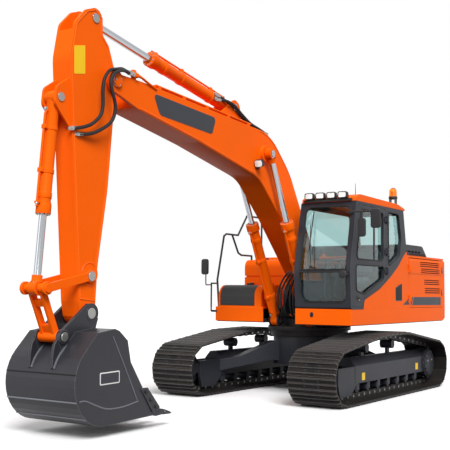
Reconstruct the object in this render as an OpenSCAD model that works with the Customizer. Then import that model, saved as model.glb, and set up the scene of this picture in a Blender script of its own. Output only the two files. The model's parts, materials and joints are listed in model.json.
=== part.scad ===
// Crawler excavator of the twenty-two tonne class, in millimetres.
// X points forward, Y to the left and Z up.
// The origin lies on the ground under the swing centre.

/* [Undercarriage] */
// Distance between the centre lines of the two tracks
track_gauge = 2380; // [2280:10:2480]
// Width of a track shoe
shoe_width = 750; // [600:10:800]
// Distance between idler and sprocket centres
wheel_base = 3640; // [3400:20:3900]
// Radius of the chain's pin line round idler and sprocket
pitch_radius = 320; // [300:5:340]
// Shoes on one track
shoe_count = 49; // [45:1:53]
// Height of the outer bars on a shoe
grouser_height = 26; // [15:1:35]
// Lift of the upper run over the carrier rollers
carrier_lift = 185; // [160:5:200]
// Outer radius of the swing bearing
bearing_radius = 680; // [620:10:700]

/* [House] */
// Height of the turntable's underside above the ground
deck_z = 1110; // [1090:5:1150]
// Thickness of the deck plate
deck_t = 60; // [40:5:70]
// Half width of the house
house_half = 1360; // [1330:5:1380]
// Distance of the counterweight seam behind the swing centre
seam_back = 2626; // [2560:10:2680]
// Length of the counterweight
tail_length = 200; // [160:10:260]
// Height of the orange side panels above the ground
panel_top = 2200; // [2160:10:2240]
// Height of the dark engine hood over the panels
hood_rise = 190; // [140:10:220]

/* [Cab] */
// Y of the cab's right side
cab_right_y = 436; // [430:2:450]
// Height of the cab floor above the ground
cab_base_z = 1355; // [1335:5:1375]
// Height of the cab's body above its floor, without the roof panel
cab_height = 1610; // [1570:10:1650]
// X of the windscreen's foot
cab_front = 1275; // [1240:5:1300]
// X of the cab's rear wall
cab_rear = -850; // [-880:5:-800]
// Wall thickness of the cab
cab_wall = 46; // [40:1:55]

/* [Boom] */
// Distance between the boom's foot pin and its nose pin
boom_length = 5700; // [5500:20:5900]
// Angle of the line between those pins above the horizontal
boom_angle = 25; // [20:1:30]
// Width over the boom's side plates
boom_width = 400; // [380:4:410]
// Radius of the boom's foot and nose pins
main_pin_r = 45; // [38:1:55]

/* [Arm] */
// Distance between the arm's pivot and the bucket pin
arm_length = 2735; // [2600:15:2900]
// Angle of that line to the horizontal
arm_angle = -82.9; // [-90:0.1:-75]
// Width over the arm's side plates
arm_width = 270; // [256:2:272]

/* [Bucket] */
// Width over the bucket's side plates
bucket_width = 1036; // [900:4:1200]
// Thickness of the bucket's shell
bucket_t = 25; // [16:1:32]
// Outer radius of the bucket's heel
heel_radius = 465; // [440:5:480]
// Teeth on the lip
tooth_count = 5; // [4:1:6]

/* [Cylinders] */
// Outer radius of the boom cylinders
boom_cyl_r = 80; // [70:1:84]
// Rod radius of the boom cylinders
boom_rod_r = 43; // [38:1:48]
// Outer radius of the arm cylinder
arm_cyl_r = 84; // [76:1:92]
// Rod radius of the arm cylinder
arm_rod_r = 48; // [42:1:52]
// Outer radius of the bucket cylinder
bucket_cyl_r = 72; // [66:1:80]
// Rod radius of the bucket cylinder
bucket_rod_r = 42; // [36:1:46]

/* [Hidden] */
$fn = 48;

orange = [0.93, 0.33, 0.05];
charcoal = [0.2, 0.2, 0.22];
dark = [0.13, 0.12, 0.12];
steel = [0.75, 0.76, 0.78];
glass = [0.45, 0.65, 0.66, 0.4];

// Radial play of every pin in its eye
play = 0.05;
// Side play of an eye between two plates
side_play = 6;

// Track heights: shoe face and bar tips above the chain's pin line
link_half = 45;
shoe_face = link_half + 14;
tip_h = shoe_face + grouser_height;
wheel_z = pitch_radius + tip_h;
half_base = wheel_base / 2;
track_y = track_gauge / 2;
chain_half = 95;

// Side-view points, as [x, z]
foot = [23, deck_z + 533];
function turn(p, a) = [p[0] * cos(a) - p[1] * sin(a), p[0] * sin(a) + p[1] * cos(a)];
kb = boom_length / 5700;
function on_boom(p) = foot + turn([p[0] * kb, p[1]], boom_angle);
nose = on_boom([5700, 0]);
ka = arm_length / 2735;
function on_arm(p) = nose + turn([p[0] * ka, p[1]], arm_angle);
tip = on_arm([2735, 0]);
boom_cyl_foot = [566, deck_z + 40];
boom_cyl_pin = on_boom([2477, 1060]);
arm_cyl_foot = on_boom([3345, 1307]);
arm_cyl_pin = on_arm([-642, 402]);
bucket_cyl_foot = on_arm([432, 780]);
lever_pin = on_arm([2324, 60]);
link_pin = tip + [443, -249];
cross_pin = tip + [683, 274];

// Lateral places of the plates round the linkages
cyl_y = boom_width / 2 + 110;
fork_in = arm_width / 2 + 15;
ear_in = arm_width / 2 + 15;
ear_out = ear_in + 36;
lever_in = arm_width / 2 + 10;
lever_out = lever_in + 34;
link_in = 66;
link_out = link_in + 34;

// Cab
cab_left_y = house_half + 4;
cab_width = cab_left_y - cab_right_y;
cab_top = cab_base_z + cab_height;
pillar_x = -8;
door_gap = 6;

// Geometry helpers
function unit(v) = v / norm(v);
function wrap(a) = a - 360 * floor((a + 180) / 360);
function corner(a, b, c, r, n) = let(u = unit(a - b), w = unit(c - b), h = acos(u * w) / 2,
    o = b + unit(u + w) * (r / sin(h)), p = b + u * (r / tan(h)) - o, q = b + w * (r / tan(h)) - o,
    s = atan2(p[1], p[0]), e = wrap(atan2(q[1], q[0]) - s))
    [for (i = [0 : n]) o + r * [cos(s + e * i / n), sin(s + e * i / n)]];
function xy(p) = [p[0], p[1]];
// Polygon with each corner [x, y, radius] drawn as an arc
function soft(pts, n = 6) = let(m = len(pts)) [for (i = [0 : m - 1]) each pts[i][2] > 0
    ? corner(xy(pts[(i + m - 1) % m]), xy(pts[i]), xy(pts[(i + 1) % m]), pts[i][2], n)
    : [xy(pts[i])]];
function arc(c, r, a0, a1, n) = [for (i = [0 : n]) let(a = a0 + (a1 - a0) * i / n)
    c + r * [cos(a), sin(a)]];

// Children drawn in the X-Z plane, as a slab from y0 to y1
module slab(y0, y1) {
    translate([0, y1, 0])
        rotate([90, 0, 0])
            linear_extrude(y1 - y0)
                children();
}

// The same slab on both sides of the machine
module slabs(y0, y1) {
    slab(y0, y1)
        children();
    slab(-y1, -y0)
        children();
}

// Round bar along Y at side-view point p
module ybar(p, r, y0, y1) {
    translate([p[0], y0, p[1]])
        rotate([-90, 0, 0])
            cylinder(r = r, h = y1 - y0);
}

module ybars(p, r, y0, y1) {
    ybar(p, r, y0, y1);
    ybar(p, r, -y1, -y0);
}

// Box given by its two corners
module box(a, b) {
    translate(a)
        cube(b - a);
}

// Round bar between two points
module rod_between(a, b, r) {
    d = b - a;
    translate(a)
        rotate([0, acos(d[2] / norm(d)), atan2(d[1], d[0])])
            cylinder(r = r, h = norm(d));
}

// Bent tube: bars between the points and a ball at each bend
module tube(pts, r) {
    for (i = [0 : len(pts) - 2])
        rod_between(pts[i], pts[i + 1], r);
    for (i = [1 : 1 : len(pts) - 2])
        translate(pts[i])
            sphere(r = r);
}

// Local frame with X from side-view point a towards b
module along(a, b, y = 0) {
    translate([a[0], y, a[1]])
        rotate([0, -atan2(b[1] - a[1], b[0] - a[0]), 0])
            children();
}

module xbar(x0, x1, r) {
    translate([x0, 0, 0])
        rotate([0, 90, 0])
            cylinder(r = r, h = x1 - x0);
}

// Barrel from its foot eye at the local origin to the gland's end at x = n
module barrel(n, r, gland_r, rod_r, eye_r, eye_w, pin_r) {
    difference() {
        union() {
            xbar(0, n - 110, r);
            xbar(n - 110, n, gland_r);
            xbar(n * 0.82, n * 0.82 + 60, r + 6);
            ybar([0, 0], eye_r, -eye_w / 2, eye_w / 2);
        }
        xbar(eye_r + 30, n - 80, r - 16);
        xbar(n - 81, n + 1, rod_r + play);
        ybar([0, 0], pin_r + play, -eye_w, eye_w);
        for (s = [-1, 1])
            translate([-r - 1, s > 0 ? eye_w / 2 : -eye_w / 2 - r, -r - 1])
                cube([eye_r + r + 25, r, 2 * r + 2]);
    }
}

// Rod whose inner end sits at depth d behind the gland at x = n and whose eye is at x = full
module piston_rod(n, full, d, rod_r, bore_r, eye_r, eye_w, pin_r, y0, y1) {
    xbar(n - d, n - d + 70, bore_r - 0.4);
    xbar(n - d, full - eye_r * 0.7, rod_r);
    xbar(full - eye_r - 45, full - eye_r * 0.5, rod_r + 12);
    translate([full, 0, 0]) {
        ybar([0, 0], eye_r, -eye_w / 2, eye_w / 2);
        ybar([0, 0], pin_r, y0, y1);
    }
}

// Pin line of the chain: bottom run, idler, upper run over the carriers, sprocket
front_carrier = [560, wheel_z + pitch_radius + carrier_lift - 20];
rear_carrier = [-430, wheel_z + pitch_radius + carrier_lift];
idler_c = [half_base, wheel_z];
drive_c = [-half_base, wheel_z];
function bear(a, b) = atan2(b[1] - a[1], b[0] - a[0]);
idler_a = bear(idler_c, front_carrier) - acos(pitch_radius / norm(front_carrier - idler_c));
drive_a = bear(drive_c, rear_carrier) + acos(pitch_radius / norm(rear_carrier - drive_c));
idler_off = idler_c + pitch_radius * [cos(idler_a), sin(idler_a)];
drive_on = drive_c + pitch_radius * [cos(drive_a), sin(drive_a)];
rad = PI / 180;
run = [wheel_base, pitch_radius * (idler_a + 90) * rad, norm(front_carrier - idler_off),
    norm(rear_carrier - front_carrier), norm(drive_on - rear_carrier),
    pitch_radius * (270 - drive_a) * rad];
function total(v, n) = n <= 0 ? 0 : v[n - 1] + total(v, n - 1);
loop_len = total(run, 6);
function mix(a, b, t) = a + (b - a) * t;
function loop_at(s) = let(i = len([for (k = [1 : 5]) if (s >= total(run, k)) k]), d = s - total(run, i))
    i == 0 ? [d - half_base, wheel_z - pitch_radius]
    : i == 1 ? idler_c + pitch_radius * [cos(d / pitch_radius / rad - 90), sin(d / pitch_radius / rad - 90)]
    : i == 2 ? mix(idler_off, front_carrier, d / run[2])
    : i == 3 ? mix(front_carrier, rear_carrier, d / run[3])
    : i == 4 ? mix(rear_carrier, drive_on, d / run[4])
    : drive_c + pitch_radius * [cos(drive_a + d / pitch_radius / rad), sin(drive_a + d / pitch_radius / rad)];
chain = [for (k = [0 : shoe_count - 1]) loop_at(k * loop_len / shoe_count)];
function link_dir(k) = unit(chain[(k + 1) % shoe_count] - chain[k % shoe_count]);
function out(t) = [t[1], -t[0]];
function joint_at(k, h) = let(a = out(link_dir(k + shoe_count - 1)), b = out(link_dir(k)))
    chain[k] + unit(a + b) * (h / cos(acos(min(1, a * b)) / 2));
function belt(h) = [for (k = [0 : shoe_count - 1]) joint_at(k, h)];
// Three bars across a shoe, as [place along the link, height]
bars = [[0.05, tip_h], [0.13, tip_h], [0.18, shoe_face], [0.44, shoe_face], [0.47, tip_h - 4],
    [0.54, tip_h - 4], [0.57, shoe_face], [0.82, shoe_face], [0.87, tip_h], [0.95, tip_h]];
function shoe(k) = let(a = chain[k], b = chain[(k + 1) % shoe_count], n = out(link_dir(k)))
    [for (q = bars) mix(a, b, q[0]) + n * q[1]];
// Largest wheel inside the chain, whose links are straight between pins
wheel_r = sqrt(pow(pitch_radius, 2) - pow(loop_len / shoe_count / 2, 2)) - link_half - 1;
shoe_line = [for (k = [0 : shoe_count - 1]) each concat([joint_at(k, shoe_face - 2)], shoe(k))];

module track() {
    slab(-shoe_width / 2, shoe_width / 2)
        difference() {
            polygon(shoe_line);
            polygon(belt(link_half));
        }
    slab(-chain_half, chain_half)
        difference() {
            polygon(belt(link_half));
            polygon(belt(-link_half));
        }
}

module track_left() {
    color(dark)
        translate([0, track_y, 0])
            track();
}

module track_right() {
    color(dark)
        translate([0, -track_y, 0])
            track();
}

frame_half = 150;
frame_low = wheel_z - pitch_radius + link_half + 140;
frame_top = frame_low + 255;
frame_ridge = frame_top + 115;
frame_end = half_base - 730;

// Long box with sloped top plates, guard plates over the idler and saddle for the final drive
module track_frame() {
    nose_x = half_base - 180;
    difference() {
        union() {
            translate([-half_base + 120, 0, 0])
                rotate([90, 0, 90])
                    linear_extrude(half_base + frame_end - 120)
                        polygon([[-frame_half, frame_low], [frame_half, frame_low],
                            [frame_half, frame_top], [50, frame_ridge], [-50, frame_ridge],
                            [-frame_half, frame_top]]);
            slabs(100, frame_half - 4)
                polygon([[frame_end - 60, frame_low], [frame_end + 130, wheel_z - pitch_radius + 25],
                    [nose_x - 60, wheel_z - pitch_radius + 25], [nose_x, frame_low],
                    [nose_x, frame_top - 6], [frame_end - 60, frame_top - 6]]);
            slabs(100.2, frame_half - 30) {
                translate(idler_c)
                    circle(r = 120);
                polygon([[nose_x - 100, wheel_z - 70], [half_base, wheel_z - 70], [half_base, wheel_z + 70],
                    [nose_x - 100, wheel_z + 70]]);
            }
        }
        ybar(drive_c, 240, -400, 400);
        ybar(drive_c, wheel_r + 6, -60, 60);
    }
}

module track_frame_left() {
    color(charcoal)
        translate([0, track_y, 0])
            track_frame();
}

module track_frame_right() {
    color(charcoal)
        translate([0, -track_y, 0])
            track_frame();
}

module both_tracks() {
    for (s = [-1, 1])
        translate([0, s * track_y, 0])
            children();
}

module front_idlers() {
    color(charcoal)
        both_tracks() {
            ybar(idler_c, wheel_r, -50, 50);
            ybar(idler_c, 110, -100, 100);
        }
}

// Toothed wheel, drum and cover on each side
module final_drives() {
    n = 21;
    r = wheel_r;
    color(charcoal)
        for (s = [-1, 1])
            translate([0, s * track_y, 0]) {
                slab(-40, 40)
                    translate(drive_c)
                        polygon([for (i = [0 : 4 * n - 1]) let(a = 360 * i / (4 * n))
                            (i % 4 < 2 ? r : r - 34) * [cos(a), sin(a)]]);
                ybar(drive_c, 240, s > 0 ? -150 : -170, s > 0 ? 170 : 150);
                ybar(drive_c, 205, s > 0 ? 169 : -195, s > 0 ? 195 : -169);
            }
}

roller_r = 66;
roller_z = wheel_z - pitch_radius + link_half + roller_r + 0.3;
roller_n = 7;

module track_rollers() {
    first = -half_base + 490;
    step = (frame_end - 140 - first) / (roller_n - 1);
    color(charcoal)
        both_tracks()
            for (i = [0 : roller_n - 1])
                translate([first + i * step, 0, 0]) {
                    ybar([0, roller_z], roller_r, -112, 112);
                    for (s = [-1, 1])
                        translate([-50, s > 0 ? 90 : -125, roller_z - 30])
                            cube([100, 35, frame_low - roller_z + 29.8]);
                }
}

module carrier_rollers() {
    color(charcoal)
        both_tracks()
            for (c = [front_carrier, rear_carrier]) {
                ybar(c - [0, link_half + 80], 70, -100, 100);
                translate([c[0] - 45, -20, frame_ridge])
                    cube([90, 40, c[1] - link_half - 80 - frame_ridge]);
            }
}

// Centre drum with four splayed legs that drop to the track frames and end flat on them
module car_body() {
    reach = track_y - frame_half;
    color(charcoal) {
        intersection() {
            for (a = [52, 128, 232, 308])
                rotate([0, 0, a])
                    slab(-235, 235)
                        polygon([[0, 520], [700, 500], [1700, 290], [1700, 480], [1150, 570], [640, 800],
                            [0, 800]]);
            box([-1700, -reach, 280], [1700, reach, 900]);
        }
        translate([0, 0, 440])
            cylinder(r = bearing_radius - 90, h = 460, $fn = 96);
    }
}

module swing_bearing() {
    color(dark)
        difference() {
            union() {
                translate([0, 0, 900])
                    cylinder(r = bearing_radius - 45, h = deck_z - 1000, $fn = 96);
                translate([0, 0, deck_z - 120])
                    cylinder(r = bearing_radius, h = 60, $fn = 96);
                translate([0, 0, deck_z - 70])
                    cylinder(r = bearing_radius - 200, h = 70 - 0.1, $fn = 96);
            }
            translate([0, 0, 880])
                cylinder(r = bearing_radius - 300, h = 400, $fn = 96);
        }
}

deck_top = deck_z + deck_t;
web_in = boom_width / 2 + 64;
web_out = web_in + 46;
lug_in = cyl_y - 62;
lug_out = cyl_y + 62;

// Deck plate, boom brackets and the lugs of the boom cylinders
module main_frame() {
    color(charcoal)
        difference() {
            union() {
                translate([0, 0, deck_z])
                    linear_extrude(deck_t)
                        polygon([[-seam_back, -house_half + skirt_t], [right_front - skirt_t, -house_half + skirt_t],
                            [right_front - skirt_t, -435], [430, -435], [430, 425], [cab_front - skirt_t, 425],
                            [cab_front - skirt_t, house_half - skirt_t], [-seam_back, house_half - skirt_t]]);
                slabs(web_in, web_out)
                    polygon(soft([[-1170, deck_top, 0], [430, deck_top, 0], [330, foot[1] - 200, 90],
                        [150, foot[1] + 175, 165], [-150, foot[1] + 175, 165], [-420, foot[1] - 60, 200],
                        [-900, deck_top + 200, 300]]));
                for (y = [lug_in - 24, lug_out])
                    slabs(y, y + 24) {
                        polygon([[330, deck_z], [440, deck_z], [566, deck_z - 50], [640, deck_z + 60],
                            [566, deck_z + 132], [330, deck_z + 170]]);
                        translate(boom_cyl_foot)
                            circle(r = 92);
                    }
            }
            ybar(foot, main_pin_r + play, -900, 900);
            ybars(boom_cyl_foot, 40 + play, lug_in - 60, lug_out + 60);
        }
}

skirt_t = 25;
right_front = 770;
skirt_z = deck_z + 10;

// Orange skirts round the deck, with the floor plates that carry the cab and the right front
module side_decks() {
    h = house_half;
    color(orange) {
        box([-seam_back, h - skirt_t, skirt_z], [cab_front + 8, h, cab_base_z]);
        box([cab_front - skirt_t, 440, skirt_z], [cab_front + 8, h, cab_base_z]);
        box([cab_rear - 20, 440, cab_base_z - 25], [cab_front + 8, h, cab_base_z]);
        box([-seam_back, h - 110, cab_base_z - 25], [cab_rear, h, cab_base_z]);
        box([-seam_back, -h, skirt_z], [right_front, -h + skirt_t, cab_base_z]);
        box([right_front - skirt_t, -h, skirt_z], [right_front, -440, cab_base_z]);
        box([-seam_back, -h, cab_base_z - 25], [right_front, -h + 110, cab_base_z]);
        box([cab_rear, -h, cab_base_z - 25], [right_front, -440, cab_base_z]);
    }
}

// Cab outline in the side view
mid_z = cab_base_z + 565;
cab_line = [[cab_rear, cab_base_z, 0], [cab_front, cab_base_z, 40], [cab_front + 40, mid_z, 500],
    [screen_x(cab_top), cab_top, 0], [cab_rear + 120, cab_top, 0], [cab_rear, cab_top - 610, 250]];
cab_hole = [[cab_rear + 50, cab_base_z + 40, 0], [screen_x(cab_base_z + 40) - 50, cab_base_z + 40, 30],
    [screen_x(mid_z) - 50, mid_z, 0], [screen_x(cab_top + 30) - 50, cab_top + 30, 0],
    [cab_rear + 175, cab_top + 30, 0], [cab_rear + 50, cab_top - 604, 250]];
function screen_x(z) = z > mid_z ? cab_front + 40 - 230 * (z - mid_z) / (cab_top - mid_z)
    : cab_front + 40 - 40 * (mid_z - z) / (mid_z - cab_base_z);
// Line along which the orange side panel sweeps up the cab's side, as [x, height over the floor]
sweep = [[845, 0, 0], [806, 138, 60], [260, 300, 900], [-156, 488, 900], [-505, 682, 700], [-733, 863, 300]];
function sweep_line(d) = [for (q = sweep) [q[0] + d, cab_base_z + q[1] + d, q[2]]];
door_low = cab_base_z + 30;
door_high = cab_top - 40;
// Door outline drawn in by d from its opening
function door_line(d) = [[pillar_x + d, cab_base_z + 440 + d, 30], [268, cab_base_z + 316 + d, 900],
    [818 + d, cab_base_z + 154 + d, 60], [858 + d, door_low + d, 20],
    [screen_x(door_low) - 52 - d, door_low + d, 60], [screen_x(mid_z) - 52 - d, mid_z, 400],
    [screen_x(door_high) - 52 - d, door_high - d, 90], [pillar_x + d, door_high - d, 30]];
quarter_line = [[pillar_x - 95, cab_base_z + 660, 50], [pillar_x - 95, cab_top - 70, 60],
    [cab_rear + 330, cab_top - 70, 90], [cab_rear + 230, cab_top - 480, 200],
    [cab_rear + 290, cab_base_z + 860, 120]];
right_line = [[cab_rear + 150, cab_base_z + 420, 60], [screen_x(cab_base_z + 420) - 105, cab_base_z + 420, 60],
    [screen_x(mid_z) - 105, mid_z, 200], [screen_x(cab_top - 70) - 105, cab_top - 70, 60],
    [cab_rear + 240, cab_top - 70, 60], [cab_rear + 150, cab_top - 480, 150]];
low_glass = [cab_base_z + 100, mid_z - 18];
high_glass = [mid_z + 18, cab_top - 75];

module cab_shell() {
    color(charcoal)
        for (z = door_hinges)
            translate([hinge_x, cab_left_y, z])
                hinge_pin(60, hinge_y - cab_left_y, 60);
    color(charcoal)
        difference() {
            slab(cab_right_y, cab_left_y)
                polygon(soft(cab_line));
            slab(cab_right_y + cab_wall, cab_left_y - cab_wall)
                polygon(soft(cab_hole));
            slab(cab_left_y - cab_wall - 1, cab_left_y + 1)
                polygon(soft(door_line(0)));
            slab(house_half - skin - 0.2, cab_left_y + 60)
                polygon(soft(concat(sweep_line(0.5), [[cab_rear - 10, cab_base_z + 940, 0],
                    [cab_rear - 10, cab_base_z - 10, 0], [sweep[0][0] + 0.5, cab_base_z - 10, 0]])));
            slab(cab_left_y - cab_wall - 1, cab_left_y + 1)
                polygon(soft(quarter_line));
            slab(cab_right_y - 1, cab_right_y + cab_wall + 1)
                polygon(soft(right_line));
            for (g = [low_glass, high_glass])
                box([cab_front - 400, cab_right_y + 90, g[0]], [cab_front + 200, cab_left_y - 70, g[1]]);
            box([cab_rear - 50, cab_right_y + 100, cab_base_z + 920],
                [cab_rear + 160, cab_left_y - 100, cab_top - 70]);
        }
}

module cab_roof() {
    z = cab_top;
    color(orange)
        slab(cab_right_y + 12, cab_left_y - 12)
            polygon(soft([[cab_rear + 20, z, 0], [screen_x(z) + 8, z, 0], [screen_x(z) - 10, z + 60, 30],
                [cab_front - 330, z + 116, 300], [cab_rear + 320, z + 92, 600], [cab_rear + 20, z + 35, 30]]));
}

// Strip of a pane along the inside of the windscreen
module screen(z0, z1) {
    slab(cab_right_y + cab_wall + 2, cab_left_y - cab_wall - 2)
        polygon([[screen_x(z0) - 58, z0], [screen_x(z0) - 50.2, z0], [screen_x(z1) - 50.2, z1],
            [screen_x(z1) - 58, z1]]);
}

module cab_glass() {
    color(glass) {
        screen(low_glass[0] - 25, low_glass[1] + 15);
        screen(high_glass[0] - 15, high_glass[1] + 25);
        slab(cab_left_y - cab_wall - 8, cab_left_y - cab_wall)
            polygon(soft([for (p = quarter_line) [p[0] + (p[0] < cab_rear + 500 ? -25 : 25),
                p[1] + (p[1] < mid_z + 310 ? -25 : 20), p[2]]]));
        slab(cab_right_y + cab_wall, cab_right_y + cab_wall + 8)
            polygon(soft([for (p = right_line) [p[0] + (p[0] < cab_rear + 400 ? -20 : 15),
                p[1] + (p[1] < mid_z - 50 ? -25 : 20), p[2]]]));
    }
}

hinge_y = cab_left_y + 23;
hinge_x = pillar_x - 3;
hinge_r = 9;
door_hinges = [cab_base_z + 560, mid_z + 300, door_high - 200];

// Upright hinge pin held by two lugs that stand on the plane y = 0; the sleeve between is h tall
module hinge_pin(h, off, reach) {
    for (z = [-28, h + 4])
        difference() {
            union() {
                translate([0, off, z])
                    cylinder(r = 12, h = 24);
                box([-reach, 0, z], [0, off + 6, z + 24]);
            }
        }
    translate([0, off, -28])
        cylinder(r = hinge_r, h = h + 56);
}

// Door with an upper and a lower window, hung on two sleeves at its rear edge
module cab_door() {
    y0 = cab_left_y - 40;
    color(charcoal) {
        difference() {
            slab(y0, cab_left_y)
                polygon(soft(door_line(door_gap)));
            slab(y0 - 1, cab_left_y + 1)
                polygon(soft(door_high_window));
            slab(y0 - 1, cab_left_y + 1)
                polygon(soft(door_low_window));
        }
        for (z = door_hinges)
            difference() {
                union() {
                    translate([hinge_x, hinge_y, z])
                        cylinder(r = hinge_r + 9, h = 60);
                    box([hinge_x + 2, cab_left_y + 6, z], [hinge_x + 75, cab_left_y + 20, z + 60]);
                    box([pillar_x + door_gap + 2, cab_left_y - 1, z], [hinge_x + 75, cab_left_y + 8, z + 60]);
                }
                translate([hinge_x, hinge_y, z - 1])
                    cylinder(r = hinge_r + play, h = 62);
            }
    }
}

door_high_window = [[pillar_x + 115, mid_z + 180, 60], [screen_x(mid_z + 180) - 190, mid_z + 180, 60],
    [screen_x(mid_z + 480) - 190, mid_z + 480, 300], [screen_x(door_high - 60) - 190, door_high - 60, 90],
    [pillar_x + 115, door_high - 60, 60]];
door_low_window = [[pillar_x + 100, cab_base_z + 465, 20], [806, cab_base_z + 225, 60],
    [screen_x(door_low) - 175, cab_base_z + 275, 60], [screen_x(mid_z + 100) - 190, mid_z + 100, 60],
    [pillar_x + 100, mid_z + 100, 60]];

module door_glass() {
    y0 = cab_left_y - 46;
    color(glass)
        for (w = [door_high_window, door_low_window]) {
            m = (min([for (p = w) p[1]]) + max([for (p = w) p[1]])) / 2;
            slab(y0, y0 + 6)
                polygon(soft([for (p = w) [p[0] + (p[0] < 500 ? -20 : 20), p[1] + (p[1] < m ? -20 : 20), p[2]]]));
        }
}

module operator_seat() {
    y = (cab_right_y + cab_left_y) / 2;
    z = cab_base_z + 40;
    w = cab_width / 928;
    color(dark) {
        box([-330, y - 200 * w, z], [130, y + 200 * w, z + 330]);
        slab(y - 250 * w, y + 250 * w)
            polygon(soft([[-360, z + 300, 40], [200, z + 300, 60], [200, z + 450, 60], [-250, z + 440, 60],
                [-390, z + 1000, 45], [-500, z + 980, 45]]));
        for (s = [-1, 1])
            slab(y + (s * 325 - 60) * w, y + (s * 325 + 60) * w)
                polygon(soft([[-300, z, 0], [150, z, 0], [260, z + 480, 50], [200, z + 560, 40],
                    [-300, z + 520, 40]]));
    }
}

// Tail block with rounded rear corners, in plan
module counterweight() {
    x0 = -seam_back;
    color(orange)
        translate([0, 0, deck_z + 30])
            linear_extrude(panel_top - deck_z - 30)
                polygon(soft([[x0, -house_half, 0], [x0, house_half, 0],
                    [x0 - tail_length + 40, house_half, 120], [x0 - tail_length, 0, 2000],
                    [x0 - tail_length + 40, -house_half, 120]]));
}

// Two bosses on the tail block whose bores take lifting eyes
module lift_sockets() {
    color(orange)
        for (s = [-1, 1])
            translate([-seam_back - 90, s * 750, panel_top])
                difference() {
                    cylinder(r = 75, h = 60);
                    translate([0, 0, -1])
                        cylinder(r = 30, h = 62);
                }
}

panel_x = -960;
skin = 32;
door_z = [cab_base_z + 120, panel_top - 220];

// Orange panel that sweeps up the cab's side, with a vent and the left door's hinge pins
module left_panel() {
    color(orange)
        for (z = door_z)
            translate([panel_x - 15, house_half, z])
                mirror([1, 0, 0])
                    hinge_pin(80, 10, 60);
    color(orange)
        difference() {
            slab(house_half - skin, house_half)
                polygon(soft(concat(sweep_line(0), [[cab_rear - 24.5, cab_base_z + 930, 0],
                    [cab_rear - 24.5, panel_top, 0], [panel_x, panel_top, 0], [panel_x, cab_base_z, 0]])));
            for (i = [0 : 5])
                box([-665 + i * 40, house_half - 12, cab_base_z + 130],
                    [-643 + i * 40, house_half + 1, cab_base_z + 385]);
            box([-106, house_half - 8, cab_base_z - 1], [-98, house_half + 1, panel_top]);
        }
}

crease_z = 1930;
// Louvre blocks of a side door, as [rear, front, height, pitch]
louvres = [[-2420, -1480, 2062, 34], [-2460, -1520, 1952, 32], [-2450, -1690, 1755, 34], [-2490, -1715, 1605, 36]];

// Skin and hinge sleeves of a side door; side s is 1 left, -1 right
module side_door(s) {
    x0 = -seam_back + 8;
    x1 = panel_x - 30;
    color(orange)
        mirror([0, s > 0 ? 0 : 1, 0]) {
            difference() {
                translate([x0, 0, 0])
                    rotate([90, 0, 90])
                        linear_extrude(x1 - x0)
                            polygon([[house_half - skin, cab_base_z + 8], [house_half - 8, cab_base_z + 8],
                                [house_half - 8, crease_z - 12], [house_half, crease_z + 12],
                                [house_half, panel_top - 50], [house_half - 14, panel_top - 8],
                                [house_half - skin, panel_top - 8]]);
                for (g = louvres)
                    for (i = [0 : 2])
                        box([g[0], house_half - skin - 1, g[2] + i * g[3]],
                            [g[1], house_half + 1, g[2] + i * g[3] + g[3] * 0.5]);
            }
            for (z = door_z)
                difference() {
                    union() {
                        translate([panel_x - 15, house_half + 10, z])
                            cylinder(r = 18, h = 80);
                        box([x1 - 60, house_half - 10, z], [panel_x - 17, house_half + 12, z + 80]);
                    }
                    translate([panel_x - 15, house_half + 10, z - 1])
                        cylinder(r = hinge_r + play, h = 82);
                }
        }
}

module left_door() {
    side_door(1);
}

module right_door() {
    side_door(-1);
}

hood_x0 = -2130;
hood_x1 = -1030;
hood_y0 = 760 - house_half;
hood_y1 = house_half - 120;
deck_skin = 35;
hood_z = panel_top + deck_skin + 6;
hood_hinge = [hood_x1 + 30, hood_z + 30];

// Roof plate of the engine bay with its hood opening and hinge pins
module top_deck() {
    color(orange) {
        difference() {
            box([-seam_back, -house_half, panel_top], [cab_rear - 25, house_half, panel_top + deck_skin]);
            box([hood_x0 + 60, hood_y0 + 60, panel_top - 1],
                [hood_x1 - 60, hood_y1 - 60, panel_top + deck_skin + 1]);
        }
        for (y = [hood_y0 + 250, hood_y1 - 350]) {
            for (d = [-42, 92])
                difference() {
                    slab(y + d, y + d + 30)
                        polygon([[hood_x1 + 7, panel_top + deck_skin], [hood_x1 + 76, panel_top + deck_skin],
                            hood_hinge + [18, 16], hood_hinge + [-10, 16], hood_hinge + [-19, 0]]);
                }
            ybar(hood_hinge, hinge_r, y - 20, y + 100);
        }
    }
}

module engine_hood() {
    top = hood_z + hood_rise;
    color(charcoal) {
        difference() {
            slab(hood_y0, hood_y1)
                polygon(soft([[hood_x0, hood_z, 0], [hood_x1, hood_z, 0], [hood_x1, top, 50],
                    [hood_x0 + 230, top, 150]]));
            slab(hood_y0 + 25, hood_y1 - 25)
                polygon(soft([[hood_x0 + 60, hood_z - 1, 0], [hood_x1 - 25, hood_z - 1, 0],
                    [hood_x1 - 25, top - 25, 25], [hood_x0 + 235, top - 25, 120]]));
            for (i = [0 : 4])
                box([-1800 + i * 150, hood_y1 - 30, hood_z + 60], [-1690 + i * 150, hood_y1 + 1, hood_z + 90]);
        }
        for (y = [hood_y0 + 250, hood_y1 - 350])
            difference() {
                union() {
                    ybar(hood_hinge, 22, y, y + 80);
                    box([hood_x1 - 1, y, hood_hinge[1] - 12], [hood_x1 + 13, y + 80, hood_hinge[1] + 12]);
                }
                ybar(hood_hinge, hinge_r + play, y - 1, y + 81);
            }
    }
}

module engine_block() {
    color(dark)
        box([-2380, -440, deck_top], [-1180, 740, panel_top - 150]);
}

tank_top = 2165;
tank_y = -500;

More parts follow.
